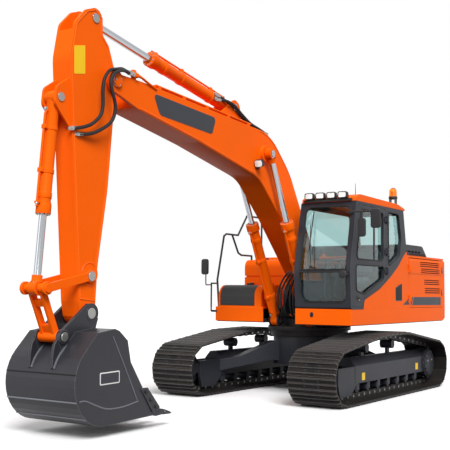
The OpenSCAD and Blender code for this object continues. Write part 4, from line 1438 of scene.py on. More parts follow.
@dataclass(frozen=True)
class Cab:
    """Gaskets, handles, wiper, lamps, beacon, mirrors and the driver's place."""

    gasket: float = 0.011

    def build(self) -> None:
        """Makes all the cab's pieces."""
        self._gaskets()
        self._outside()
        self._lamps()
        self._beacon()
        self._mirrors()
        self._inside()
        Seat().build()

    def _loop(self, shape: Shape, points: Iterable[Vector]) -> None:
        """Lays one rubber strip round a window."""
        shape.tube(list(points), self.gasket, 8, loop=True)

    @staticmethod
    def _corners(shape: Shape, y0: float, y1: float, z: float, up: int, radius: float) -> None:
        """Rounds the two outer corners of a windscreen opening.

        Args:
            shape: Shape that takes the corners.
            y0: Right side of the opening.
            y1: Left side of the opening.
            z: Height of its outer edge.
            up: 1 where the opening lies above that edge, -1 below.
            radius: Corner radius.
        """
        for y, inward in ((y0, 1), (y1, -1)):
            ring = [(y - inward * 0.002, z - up * 0.002)]
            for k in range(9):
                a = math.pi / 2 * k / 8
                ring.append((y + inward * radius * (1 - math.sin(a)), z + up * radius * (1 - math.cos(a))))
            shape.loft([[Vector((CAB.screen(v) - depth, u, v)) for u, v in ring] for depth in (0.0, 0.046)])

    def _gaskets(self) -> None:
        """Rubber strips round every window."""
        door = Shape(RUBBER)
        for outline in (CAB.door_high(), CAB.door_low()):
            self._loop(door, [Vector((x, CAB.left - 0.001, z)) for x, z in outline])
        door.use(TUBE).slab(
            [(0.35, 2.1), (0.38, 2.1), (0.376, 2.866), (0.346, 2.866)], CAB.left - 0.054, CAB.left - 0.03,
        )
        door.build("door_gaskets", Body.CAB_DOOR, Slot.PLASTIC)
        shell, trim = Shape(RUBBER), Shape(CHARCOAL)
        self._loop(shell, [Vector((x, CAB.left - 0.001, z)) for x, z in CAB.quarter()])
        self._loop(shell, [Vector((x, CAB.right + 0.001, z)) for x, z in CAB.right_side()])
        middle = (CAB.right + 0.09 + CAB.left - 0.07) / 2
        wide = CAB.left - CAB.right - 0.16
        for low, high in ((CAB.base + 0.1, CAB.mid - 0.018), (CAB.mid + 0.018, CAB.top - 0.075)):
            bottom = low < CAB.mid - 0.1
            r0, r1 = (0.12, 0.014) if bottom else (0.014, 0.11)
            y0, y1 = middle - wide / 2, middle + wide / 2
            flat = soft([(y0, low, r0), (y1, low, r0), (y1, high, r1), (y0, high, r1)], 8)
            self._loop(shell, [Vector((CAB.screen(z) - 0.002, y, z)) for y, z in flat])
            self._corners(trim, y0, y1, low if bottom else high, 1 if bottom else -1, r0 if bottom else r1)
        low, high = CAB.base + 0.92, CAB.top - 0.07
        flat = round_rect(CAB.left - CAB.right - 0.2, high - low, 0.05, 4)
        y, z = (CAB.left + CAB.right) / 2, (low + high) / 2
        self._loop(shell, [Vector((CAB.back(z + v) + 0.002, y + u, z + v)) for u, v in flat])
        shell.build("window_gaskets", Body.HOUSE, Slot.PLASTIC)
        trim.build("screen_corners", Body.HOUSE, Slot.CHARCOAL)
        pane = Shape(GLASS)
        pane.loft([[Vector((CAB.back(z + v) + d, y + u, z + v)) for u, v in flat] for d in (0.03, 0.036)])
        pane.build("rear_window", Body.HOUSE, Slot.GLASS)

    def _outside(self) -> None:
        """Door handle with its lock, wiper, and the oval port in the front skirt."""
        handle = Shape(PLASTIC)
        at = Vector((1.008, CAB.left, 1.523))
        handle.pillow(facing(at, LEFT), (0.17, 0.095, 0.008), 0.03, 0.003)
        bow = ((-0.06, 0.002, 0.0), (-0.045, 0.026, 0.0), (0.045, 0.026, 0.0), (0.06, 0.002, 0.0))
        handle.pipe([at + Vector(p) for p in bow], 0.01, 0.011, 10)
        handle.use(PIN).lathe(
            facing(at + Vector((0.0, 0.003, -0.03)), LEFT), [(0, 0.012), (0.004, 0.012), (0.005, 0.009)], 16,
        )
        handle.build("door_handle", Body.CAB_DOOR, Slot.PLASTIC)
        wiper = Shape(PLASTIC)
        low = Vector((CAB.screen(1.98) + 0.01, 0.72, 1.98))
        high = Vector((CAB.screen(2.62) + 0.012, 0.64, 2.62))
        wiper.lathe(
            facing(low - Vector((0.012, 0, 0)), FORWARD), [(0, 0.028), (0.02, 0.026), (0.03, 0.014)], 20,
        )
        wiper.tube([low, low.lerp(high, 0.5) + Vector((0.01, 0, 0)), high], 0.006, 8)
        wiper.tube(
            [Vector((CAB.screen(z) + 0.006, 0.66 + 0.03 * (z - 2.3), z)) for z in (2.2, 2.45, 2.7, 2.86)],
            0.008, 6,
        )
        wiper.build("wiper", Body.HOUSE, Slot.PLASTIC)
        port = Shape(PLASTIC)
        place = facing((CAB.front + 0.009, 0.721, 1.268), FORWARD)
        port.pillow(place, (0.056, 0.078, 0.004), 0.026, 0.001)
        port.use(DARK_MESH_AND_PAINTED_SHADE).pillow(lift(place, 0.0012), (0.042, 0.064, 0.003), 0.02, 0.001)
        port.build("skirt_port", Body.HOUSE, Slot.PLASTIC)

    def _lamps(self) -> None:
        """Four work lamps on a bar over the windscreen."""
        low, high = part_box("work_lights")
        shape = Shape(TUBE)
        middle = facing((low[0] + 0.02, (low[1] + high[1]) / 2, low[2] + 0.02), FORWARD)
        shape.pillow(middle, (high[1] - low[1], 0.038, 0.022), 0.01, 0.004)
        first, step = CAB.right + 0.095 + 0.0775, 0.186
        depth = high[0] - low[0]
        for i in range(4):
            y = first + i * step
            z = high[2] - 0.05
            shape.use(TUBE)
            shape.pillow(facing((low[0] + 0.02, y, z - 0.052), FORWARD), (0.05, 0.05, 0.012), 0.01, 0.003)
            for s in (-1, 1):
                shape.pillow(
                    facing((low[0] + 0.035, y + s * 0.074, z - 0.018), (0, s, 0)), (0.05, 0.06, 0.005), 0.012,
                    0.001, 1,
                )
            shape.use(PLASTIC)
            place = facing((low[0] + depth / 2 - 0.006, y, z), FORWARD)
            shape.pillow(place, (0.146, 0.1, depth - 0.016), 0.026, 0.02, 4)
            front = lift(place, depth / 2 - 0.008)
            shape.pillow(front, (0.152, 0.102, 0.014), 0.026, 0.005)
            shape.use(REFLECTOR).pillow(lift(front, 0.0035), (0.12, 0.074, 0.011), 0.018, 0.002)
            shape.use(LENS).pillow(lift(front, 0.0085), (0.118, 0.072, 0.009), 0.018, 0.004)
        piece = shape.build("work_lamps", Body.HOUSE, Slot.PLASTIC)
        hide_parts("work_lights")

    def _beacon(self) -> None:
        """Amber dome on a tilted bracket, and the aerial."""
        x, y = CAB.rear + 0.24, CAB.left - 0.13
        foot = CAB.top + 0.06
        shape = Shape(TUBE)
        corners = ((-0.05, 0.01, 0.004), (0.05, 0.03, 0.004), (0.05, 0.128, 0.012), (-0.05, 0.128, 0.012))
        cheek = soft([(x + dx, foot + dz, r) for dx, dz, r in corners], 3)
        for inner, outer in ((-0.05, -0.044), (0.044, 0.05)):
            shape.slab(cheek, y + inner, y + outer)
        shape.pillow(facing((x, y, foot + 0.125), UP), (0.11, 0.104, 0.008), 0.012, 0.002)
        up = facing((x, y, foot + 0.13), UP)
        shape.use(PLASTIC).lathe(up, [(0, 0.07), (0.004, 0.072), (0.03, 0.072), (0.04, 0.068)], 40)
        dome = [(0.04, 0.065)] + [(0.055 + 0.015 * i, 0.065 - 0.0008 * i) for i in range(5)]
        dome += [
            (0.13 + 0.056 * math.sin(a), 0.062 * math.cos(a))
            for a in (math.pi / 2 * k / 8 for k in range(1, 8))
        ]
        shape.use(AMBER).lathe(up, dome, 40)
        shape.use(REFLECTOR).lathe(
            up, [(0.041, 0.02), (0.1, 0.02), (0.12, 0.03), (0.14, 0.02), (0.145, 0.005)], 20,
        )
        aerial = Vector((CAB.rear + 0.9, CAB.left - 0.5, 0))
        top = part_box("cab_roof")[1][2]
        stem = facing((aerial.x, aerial.y, top - 0.012), UP)
        shape.use(RUBBER).lathe(
            stem, [(0, 0.02), (0.02, 0.018), (0.035, 0.007), (0.2, 0.0045), (0.29, 0.003), (0.3, 0.001)], 14,
        )
        piece = shape.build("beacon_and_aerial", Body.HOUSE, Slot.PLASTIC)
        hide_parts("beacon")

    def _mirrors(self) -> None:
        """Mirror heads with silvered faces on bent tubes."""
        x, z, y = CAB.front + 0.055, CAB.top - 0.19, CAB.left
        shape = Shape(TUBE)
        rail = [(CAB.screen(z) + 0.003, -0.04), (x - 0.03, -0.04), (x - 0.004, -0.02), (x, 0.03), (x, 0.41)]
        shape.pipe([(u, y + v, z) for u, v in rail], 0.012, 0.013, 12)
        shape.tube([Vector((x, y + 0.2, z)), Vector((x, y + 0.2, z - 0.1))], 0.013, 12)
        front, low = CAB.front, 1.868
        stalk = [
            (CAB.screen(low) + 0.0005, -0.03), (front + 0.095, -0.03), (front + 0.112, -0.045),
            (front + 0.115, -0.08),
        ]
        shape.pipe([(u, y + v, low) for u, v in stalk], 0.01, 0.009, 10)
        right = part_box("mirrors")[0][1]
        foot_y = right + 0.09
        bend = ((0.102, 1.715), (0.02, 1.715), (0.003, 1.73), (0.0, 1.9))
        shape.pipe([(0.81, foot_y + v, w) for v, w in bend], 0.012, 0.010, 10)
        heads = (
            ((x + 0.002, y + 0.197, z - 0.2325), (0.128, 0.273)),
            ((x + 0.002, y + 0.416, z - 0.109), (0.158, 0.28)),
            ((0.811, right + 0.0725, 2.0175), (0.143, 0.263)),
        )
        for at, (wide, tall) in heads:
            place = facing(at, FORWARD)
            shape.use(PLASTIC).pillow(place, (wide, tall, 0.038), 0.04, 0.017, 4)
            silver = (wide - 0.03, tall - 0.03, 0.002)
            shape.use(MIRROR).pillow(lift(place, -0.0178), silver, 0.028, 0.0006, 1)
        disc = facing((front + 0.105, y - 0.085, low), FORWARD)
        shape.use(PLASTIC).lathe(
            disc,
            [(0.002, 0.058), (0.004, 0.062), (0.01, 0.061), (0.018, 0.05), (0.0235, 0.03), (0.024, 0.0)], 36,
        )
        shape.use(MIRROR).lathe(disc, [(0.0, 0.0), (0.0003, 0.03), (0.0018, 0.056)], 36)
        piece = shape.build("mirror_heads", Body.HOUSE, Slot.PLASTIC)
        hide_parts("mirrors")

    def _inside(self) -> None:
        """Floor mat, pedals with levers, and the monitor on its post."""
        shape = Shape(PLASTIC)
        middle, right, z = (CAB.left + CAB.right) / 2, CAB.right, CAB.base
        shape.pillow(facing((0.7, middle, z + 0.046), UP), (0.78, 0.9, 0.01), 0.03, 0.003)
        for s in (-1, 1):
            y = middle + s * 0.09
            pedal = facing((1.03, y, z + 0.13), (-0.5, 0, 0.85), FORWARD)
            shape.use(PLASTIC).pillow(pedal, (0.11, 0.24, 0.018), 0.015, 0.005)
            stem = ((1.06, 0.0, 0.12), (1.04, 0.0, 0.3), (0.98, 0.01, 0.52), (0.9, 0.02, 0.66))
            shape.use(TUBE).pipe([(x, y + s * dy, z + dz) for x, dy, dz in stem], 0.03, 0.011, 10)
            grip = facing((0.905, y + s * 0.02, z + 0.65), (-0.5, 0, 0.86))
            shape.use(PLASTIC).lathe(
                grip, [(0, 0.014), (0.02, 0.022), (0.08, 0.024), (0.1, 0.018), (0.105, 0.006)], 16,
            )
        screen = facing((0.98, right + 0.14, z + 0.83), (-0.9, 0.4, 0.25))
        shape.use(PLASTIC).pillow(screen, (0.24, 0.18, 0.05), 0.02, 0.012)
        shape.use(BADGE).pillow(lift(screen, 0.024), (0.2, 0.135, 0.006), 0.01, 0.002)
        post = [(1.02, right + 0.1, z + 0.05), (1.04, right + 0.09, z + 0.5), (1.0, right + 0.12, z + 0.8)]
        shape.use(TUBE).pipe(post, 0.05, 0.016, 10)
        shape.build("cab_controls", Body.HOUSE, Slot.PLASTIC)


@dataclass(frozen=True)
class Seat:
    """Driver's seat with crowned cushions, consoles and joysticks."""

    y: float = 0.9
    floor: float = 1.395
    lean: tuple[Point, Point] = ((0.97, 0, 0.24), (-0.24, 0, 0.97))
    voxel: float = 0.014
    pressure: float = 4.0
    steps: int = 15
    cap: float = 0.02

    def build(self) -> None:
        """Makes the seat in the room of its CAD solid."""
        base = self._base()
        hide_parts("operator_seat")
        z = self.floor
        flat = Matrix.Translation((-0.06, self.y, z + 0.375))
        back, head = (facing((x, self.y, z + up), *self.lean) for x, up in ((-0.375, 0.71), (-0.46, 0.905)))
        pads = (
            ("seat_cushion", flat, (0.46, 0.44, 0.11), 0.09, 0.045),
            ("seat_back", back, (0.42, 0.48, 0.1), 0.1, 0.042),
            ("head_rest", head, (0.24, 0.1, 0.08), 0.04, 0.03),
        )
        for name, place, size, corner, edge in pads:
            form = Shape(FABRIC)
            form.pillow(place, size, corner, edge, 4)
            pad = form.build(name, Body.HOUSE, Slot.SEAT)
            self._crown(pad)

    def _base(self) -> Piece:
        """Bellows, pan, shell, consoles, arm rests and joysticks.

        Returns:
            The piece.
        """
        z = self.floor
        shape = Shape(PLASTIC)
        for i in range(5):
            fold = 0.02 * (i % 2)
            place = Matrix.Translation((-0.1, self.y, z + 0.03 + 0.05 * i))
            shape.use(RUBBER).pillow(place, (0.42 - fold, 0.38 - fold, 0.052), 0.05, 0.022)
        shape.use(PLASTIC).pillow(
            Matrix.Translation((-0.09, self.y, z + 0.295)), (0.5, 0.46, 0.05), 0.07, 0.018,
        )
        shape.pillow(facing((-0.425, self.y, z + 0.69), *self.lean), (0.44, 0.52, 0.05), 0.11, 0.02)
        shape.use(FABRIC)
        for k in (-0.12, 0.0, 0.12):
            run = [(-0.27 + 0.03 * i, self.y + k, z + 0.428) for i in range(15)]
            shape.tube([Vector(p) for p in run], 0.006, 6)
        for s in (-1, 1):
            y = self.y + s * 0.325
            side = soft(
                [
                    (-0.3, z + 0.001, 0.01), (0.15, z + 0.001, 0.01), (0.255, z + 0.47, 0.05),
                    (0.2, z + 0.535, 0.03), (-0.3, z + 0.5, 0.03),
                ],
                4,
            )
            shape.use(PLASTIC).slab(side, y - 0.056, y + 0.056)
            shape.use(FABRIC).pillow(
                Matrix.Translation((-0.14, y, z + 0.53)), (0.27, 0.08, 0.045), 0.03, 0.02,
            )
            shape.use(RUBBER).lathe(
                facing((0.16, y, z + 0.5), (0.1, 0, 1)),
                [(0, 0.045), (0.015, 0.042), (0.03, 0.03), (0.04, 0.034), (0.055, 0.022)], 20,
            )
            shape.use(PLASTIC).pipe(
                [(0.165, y, z + 0.54), (0.17, y, z + 0.6), (0.16, y, z + 0.66)], 0.01, 0.017, 12,
            )
        return shape.build("seat_base", Body.HOUSE, Slot.SEAT)

    def _crown(self, pad: Piece) -> None:
        """Swells the pad by cloth pressure, capped, and smooths it.

        Args:
            pad: The closed pad.
        """
        scene = bpy.context.scene
        mesher = pad.modifiers.new("even", "REMESH")
        mesher.mode = "VOXEL"
        mesher.voxel_size = self.voxel
        self._apply(pad)
        rest = [v.co.copy() for v in pad.data.vertices]
        cloth = pad.modifiers.new("swell", "CLOTH")
        cloth.settings.use_pressure = True
        cloth.settings.uniform_pressure_force = self.pressure
        cloth.settings.effector_weights.gravity = 0.0
        for step in range(1, self.steps + 1):
            scene.frame_set(step)
        self._apply(pad)
        scene.frame_set(1)
        for vertex, start in zip(pad.data.vertices, rest):
            move = vertex.co - start
            if move.length > self.cap:
                vertex.co = start + move.normalized() * self.cap
        for polygon in pad.data.polygons:
            polygon.use_smooth = True

    @staticmethod
    def _apply(pad: Piece) -> None:
        """Makes the evaluated mesh the pad's own and drops its modifiers.

        Args:
            pad: The pad.
        """
        graph = bpy.context.evaluated_depsgraph_get()
        shaped = bpy.data.meshes.new_from_object(pad.evaluated_get(graph))
        pad.modifiers.clear()
        pad.data = shaped


@dataclass(frozen=True)
class House:
    """Vents, painted shade behind the louvres, blank band, latches and tank caps."""

    half: float = 1.36
    skin: float = 0.032

    def build(self) -> None:
        """Makes the house's trim."""
        self._doors()
        self._panel()
        self._hood()
        self._tops()

    def _doors(self) -> None:
        """Dark sheets of painted shade behind the louvres, latches, and the blank band on the left."""
        for side, body, name in ((1, Body.LEFT_DOOR, "left"), (-1, Body.RIGHT_DOOR, "right")):
            # Painted shade: near-black sheets behind the louvres stand for the shade of the bay inside.
            back = Shape(DARK_MESH_AND_PAINTED_SHADE)
            for x, z, wide, tall in ((-1.97, 2.03, 1.02, 0.2), (-2.08, 1.71, 0.86, 0.28)):
                back.pillow(
                    facing((x, side * (self.half - self.skin - 0.004), z), (0, side, 0)), (wide, tall, 0.006),
                    0.01, 0.002, 1,
                )
            back.build(name + "_louvre_backing", body, Slot.PLASTIC)
            latch = Shape(PLASTIC)
            for z in (1.62, 2.02):
                at = Vector((-2.56, side * self.half - side * (0.008 if z < 1.9 else 0.0), z))
                latch.use(PLASTIC).pillow(facing(at, (0, side, 0)), (0.05, 0.11, 0.012), 0.012, 0.004)
                latch.use(PIN).lathe(
                    facing(at + Vector((0, side * 0.005, 0.02)), (0, side, 0)),
                    [(0, 0.012), (0.003, 0.012), (0.004, 0.008)], 16,
                )
            latch.build(name + "_door_latches", body, Slot.PLASTIC)
        band = Shape(BADGE)
        y = self.half - 0.008
        band.slab(
            soft(
                [
                    (-2.495, 1.398, 0.006), (-1.12, 1.404, 0.006), (-1.19, 1.541, 0.006),
                    (-2.495, 1.541, 0.006),
                ],
                3,
            ),
            y, y + 0.003,
        )
        band.slab([(-1.092, 1.404), (-1.06, 1.404), (-1.06, 1.541), (-1.16, 1.541)], y, y + 0.003)
        band.build("blank_band", Body.LEFT_DOOR, Slot.CHARCOAL)

    def _panel(self) -> None:
        """Mesh vent with a slanted top on the left panel."""
        vent = Shape(TUBE)
        y = self.half
        outline = [(-0.66, 1.474, 0.015), (-0.39, 1.474, 0.015), (-0.39, 1.69, 0.015), (-0.66, 1.766, 0.015)]
        vent.slab(soft(outline, 3), y - 0.01, y + 0.002)
        inner = [
            (x + (0.012 if x < -0.5 else -0.012), z + (0.012 if z < 1.5 else -0.014), 0.01)
            for x, z, _ in outline
        ]
        vent.use(DARK_MESH_AND_PAINTED_SHADE).slab(soft(inner, 3), y, y + 0.0028)
        vent.use(TUBE)
        for i in range(1, 16):
            x = -0.648 + 0.0155 * i
            top = 1.69 + (1.766 - 1.69) * (-0.39 - x) / 0.27 - 0.016
            vent.slab(
                [(x - 0.002, 1.488), (x + 0.002, 1.488), (x + 0.002, top), (x - 0.002, top)], y, y + 0.005,
            )
        vent.use(BADGE).slab(
            [(-0.69, 1.412), (-0.95, 1.412), (-0.945, 1.515), (-0.86, 1.48)], y - 0.001, y + 0.002,
        )
        vent.build("panel_vent", Body.HOUSE, Slot.PLASTIC)

    def _hood(self) -> None:
        """Near-black painted shade behind the hood's slots, and its grab handle."""
        low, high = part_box("engine_hood")
        # Painted shade: near-black strips stand for the shade inside the hood's slots.
        shape = Shape(DARK_MESH_AND_PAINTED_SHADE)
        shape.pillow(
            facing((-1.445, high[1] - 0.028, low[2] + 0.075), LEFT), (0.8, 0.05, 0.004), 0.01, 0.001, 1,
        )
        shape.slab(
            soft([(-2.04, 2.25, 0.01), (-1.3, 2.25, 0.01), (-1.3, 2.297, 0.01), (-2.04, 2.297, 0.01)], 3),
            high[1] - 0.004, high[1] + 0.003,
        )
        shape.use(TUBE).pipe(
            [
                (low[0] + 0.2, 0.1, high[2] - 0.035), (low[0] + 0.17, 0.1, high[2] - 0.004),
                (low[0] + 0.17, 0.3, high[2] - 0.004), (low[0] + 0.2, 0.3, high[2] - 0.035),
            ],
            0.02, 0.01, 10,
        )
        shape.build("hood_trim", Body.HOOD, Slot.PLASTIC)

    def _tops(self) -> None:
        """Filler caps on the tanks."""
        shape = Shape(PLASTIC)
        cap = [(0, 0.07), (0.01, 0.07), (0.012, 0.06), (0.032, 0.058), (0.035, 0.05)]
        for y in (-1.05, -0.7):
            shape.lathe(facing((-0.33, y, 2.165), UP), cap, 32)
        shape.build("tank_caps", Body.HOUSE, Slot.PLASTIC)


@dataclass(frozen=True)
class Boom:
    """Hoses with their clamps and fittings, welds, blank badge, lamp and nose caps of the boom."""

    hose: float = 0.021
    knuckle_hose: float = 0.019
    foot_hose: float = 0.0155
    hose_step: float = 0.025
    over_nose: tuple[tuple[Point, ...], ...] = (
        (
            (4.99, 0.185, 4.216), (5.1, 0.2, 4.222), (5.219, 0.225, 4.19), (5.367, 0.245, 4.139),
            (5.46, 0.25, 4.026), (5.486, 0.25, 3.89), (5.481, 0.25, 3.713), (5.51, 0.245, 3.592),
            (5.622, 0.225, 3.476), (5.75, 0.19, 3.415), (5.86, 0.15, 3.392),
        ),
        (
            (4.99, 0.22, 4.19), (5.1, 0.24, 4.195), (5.219, 0.265, 4.165), (5.33, 0.275, 4.1),
            (5.391, 0.285, 4.0), (5.37, 0.29, 3.888), (5.32, 0.29, 3.773), (5.308, 0.285, 3.667),
            (5.36, 0.27, 3.531), (5.504, 0.235, 3.42), (5.632, 0.195, 3.36), (5.77, 0.15, 3.339),
        ),
    )

    def build(self) -> None:
        """Makes the boom's pieces."""
        self._hoses()
        self._welds()
        self._badge()
        self._lamp()
        self._caps()

    def _outline(self) -> Outline:
        """Side view of the boom in its own axes.

        Returns:
            The outline.
        """
        line = [
            (-0.06, -0.15, 0), (1.641, 0.442, 1.5), (2.45, 0.668, 0.7), (3.95, 0.3, 3.0),
            (5.213, -0.061, 0.9), (5.3, -0.075, 0), (5.3, 0.29, 0),
            (5.29, 0.294, 0), (2.45, 1.44, 0.9), (1.7, 1.225, 1.2), (-0.06, 0.15, 0),
        ]
        return soft(line, 10)

    def _welds(self) -> None:
        """Beads a little inside the edges of both side plates."""
        shape = Shape(ORANGE_WELD)
        line = [spot for spot in inset(self._outline(), 0.02) if 0.28 < spot.x < 5.2]
        for side in (-1, 1):
            for lower in (True, False):
                run = [
                    BONES.on_boom(spot.x, spot.y, side * BONES.boom_half)
                    for spot in line if self._below(spot) == lower
                ]
                shape.tube(refine(run, WELD_STEP), WELD_RADIUS, 6, WELD_RIPPLE)
        shape.build("boom_welds", Body.BOOM, Slot.ORANGE)

    @staticmethod
    def _below(spot: Vector) -> bool:
        """Whether a point lies on the boom's lower edge."""
        middle = 0.36 * spot.x + 0.02 if spot.x < 2.45 else 1.05 - 0.355 * (spot.x - 2.45)
        return spot.y < middle

    def _badge(self) -> None:
        """Blank dark plate on the left side."""
        shape = Shape(BADGE)
        corners = [(4.496, 4.049, 0.04), (4.36, 3.797, 0.1), (3.195, 3.735, 0.06), (3.103, 3.977, 0.05)]
        shape.slab(soft(corners), BONES.boom_half - 0.002, BONES.boom_half + 0.004)
        shape.build("blank_badge_plate", Body.BOOM, Slot.CHARCOAL)

    def _lamp(self) -> None:
        """Work lamp on the left side."""
        shape = Shape(TUBE)
        at = Vector((2.017, BONES.boom_half, 3.479))
        shape.pillow(facing(at + Vector((0, 0.02, -0.03)), LEFT), (0.06, 0.1, 0.04), 0.01, 0.004)
        head = facing(at + Vector((0.05, 0.075, 0.0)), (0.94, 0.1, -0.3))
        shape.use(PLASTIC).pillow(head, (0.13, 0.11, 0.08), 0.03, 0.02, 4)
        shape.use(REFLECTOR).pillow(lift(head, 0.038), (0.11, 0.09, 0.008), 0.024, 0.002)
        shape.use(LENS).pillow(lift(head, 0.044), (0.112, 0.092, 0.01), 0.026, 0.004)
        shape.build("boom_lamp", Body.BOOM, Slot.PLASTIC)

    def _caps(self) -> None:
        """Round caps over the nose pin, with their bolts."""
        shape = Shape(ORANGE)
        nose = BONES.on_boom(BONES.boom_length, 0)
        for side in (-1, 1):
            place = facing((nose.x, side * (BONES.boom_half + 0.017), nose.z), (0, side, 0))
            shape.use(ORANGE).lathe(
                place, [(0, 0.068), (0.006, 0.072), (0.014, 0.07), (0.02, 0.05), (0.022, 0.0)], 40,
            )
            shape.use(PIN)
            for a in (0.8, 2.9, 5.0):
                shape.bolt(
                    place @ Matrix.Translation((0.05 * math.cos(a), 0.05 * math.sin(a), 0.016)), 0.009, 0.01,
                )
        shape.build("nose_caps", Body.BOOM, Slot.ORANGE)

    def _hoses(self) -> None:
        """Hoses over the nose to the arm, at the knuckle and at the boom's foot."""
        nose = BONES.on_boom(BONES.boom_length, 0)
        start, end = (nose.x - 0.22, 0, nose.z + 0.2), (nose.x + 0.22, 0, nose.z - 0.35)
        for i, points in enumerate(self.over_nose):
            self._hose("arm_hose_" + str(i + 1), points, self.hose, (Body.BOOM, Body.ARM), start, end)
        block = Shape(ORANGE)
        block.pillow(facing((4.86, 0.177, 4.185), FORWARD), (0.05, 0.16, 0.05), 0.01, 0.005)
        nut = [
            (0, 0.02), (0.02, 0.02), (0.02, 0.028), (0.05, 0.028), (0.05, 0.0225), (0.13, 0.0225),
            (0.13, 0.0215),
        ]
        bend = ((4.44, -0.015, -0.085), (4.6, -0.01, -0.045), (4.75, -0.003, -0.004), (4.88, 0.0, 0.0))
        for _, y, z in (points[0] for points in self.over_nose):
            block.use(ORANGE).pipe([(x, y + dy, z + dz) for x, dy, dz in bend], 0.03, 0.015, 12)
            block.pillow(facing((4.86, y, z), FORWARD), (0.056, 0.056, 0.045), 0.012, 0.005)
            block.use(PIN).lathe(facing((4.88, y, z), FORWARD), nut, 6)
        block.build("hose_clamp", Body.BOOM, Slot.ORANGE)
        self._knuckle()
        self._foot()
        ends = Shape(PIN)
        ferrule = [(0, 0.021), (0.05, 0.022), (0.05, 0.027), (0.08, 0.027), (0.08, 0.02), (0.11, 0.02)]
        for points, way in zip(self.over_nose, ((0.9, -0.3, -0.2), (0.9, -0.3, -0.1))):
            ends.lathe(facing(Vector(points[-1]) - Vector(way) * 0.06, way), ferrule, 6)
        ends.build("hose_ferrules", Body.ARM, Slot.PIN)

    def _knuckle(self) -> None:
        """Hoses from the arm cylinder's rear port along the boom's back."""
        ends, ports = Shape(PIN), Shape(PIN)
        for i, y in enumerate((0.11, 0.16)):
            points = [
                (2.93, 0.102, 4.338 - 0.06 * i), (2.784, y, 4.31 - 0.03 * i), (2.6, y + 0.01, 4.25),
                (2.414, y + 0.01, 4.165), (2.15, y, 4.07), (1.9, y, 4.022), (1.72, y, 3.985),
            ]
            run = smooth_path(points, self.hose_step)
            name, bodies = "knuckle_hose_" + str(i + 1), (Body.ARM_BARREL, Body.BOOM)
            self._hose(name, points, self.knuckle_hose, bodies, (2.76, 0, 4.28), (2.3, 0, 4.12))
            for shape, at, way in ((ports, run[0], run[1] - run[0]), (ends, run[-1], run[-2] - run[-1])):
                shape.lathe(
                    facing(at - way.normalized() * 0.04, way),
                    [(0, 0.026), (0.035, 0.026), (0.035, 0.022), (0.1, 0.022)], 6,
                )
            ports.pillow(facing((2.975, 0.086, 4.345 - 0.06 * i), LEFT), (0.05, 0.05, 0.07), 0.012, 0.005)
            ends.pillow(facing((1.69, y, 3.968), (1, 0, 0.2)), (0.05, 0.07, 0.04), 0.01, 0.004)
        ends.build("knuckle_fittings", Body.BOOM, Slot.PIN)
        ports.build("barrel_ports", Body.ARM_BARREL, Slot.PIN)

    def _foot(self) -> None:
        """Hoses that loop forward from the deck to the boom's belly."""
        low, high = Shape(PIN), Shape(PIN)
        down = (0.82, 0, -0.56)
        for i in range(5):
            y = -0.12 + 0.06 * i
            lean = 0.03 * (i % 3)
            points = [
                (0.42, y, 1.19), (0.54, y, 1.19), (0.7 + lean, y * 1.1, 1.25), (0.79 + lean, y * 1.25, 1.42),
                (0.77 + lean, y * 1.25, 1.62), (0.66, y * 1.1, 1.8), (0.555, y, 1.89), (0.5, y, 1.925),
            ]
            name = "foot_hose_" + str(i + 1)
            self._hose(name, points, self.foot_hose, (Body.HOUSE, Body.BOOM), (0.6, 0, 1.46), (0.53, 0, 1.9))
            for shape, place, nut, reach in (
                (low, facing((0.36, y, 1.19), FORWARD), 0.06, 0.14),
                (high, facing((0.455, y, 1.955), down), 0.05, 0.12),
            ):
                shape.lathe(place, [(0, 0.026), (nut, 0.026), (nut, 0.0215), (reach, 0.0215)], 6)
        low.use(ORANGE).pillow(facing((0.34, 0, 1.205), FORWARD), (0.34, 0.08, 0.06), 0.012, 0.006)
        low.build("deck_fittings", Body.HOUSE, Slot.PIN)
        high.use(ORANGE).pillow(facing((0.445, 0, 1.965), down), (0.32, 0.08, 0.05), 0.012, 0.006)
        high.build("belly_fittings", Body.BOOM, Slot.PIN)

    def _hose(
        self, name: str, points: Sequence[Point], radius: float, bodies: tuple[Body, Body], start: Point,
        end: Point,
    ) -> None:
        """One rubber hose that runs across a joint, on no body.

        Args:
            name: Name of the piece.
            points: Points that it passes.
            radius: Its radius.
            bodies: Bodies at its two ends; not used.
            start: Place on the first body's side of the joint; not used.
            end: Place on the second body's side of the joint; not used.
        """
        path = smooth_path(points, self.hose_step)
        shape = Shape(RUBBER)
        shape.tube(path, radius, 14)
        piece = shape.build(name, None, Slot.TUBE)
        length = sum((b - a).length for a, b in zip(path, path[1:]))
        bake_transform(piece)
        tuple(start)
        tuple(end)
        tuple(path[0])
        [tuple(p) for p in path]


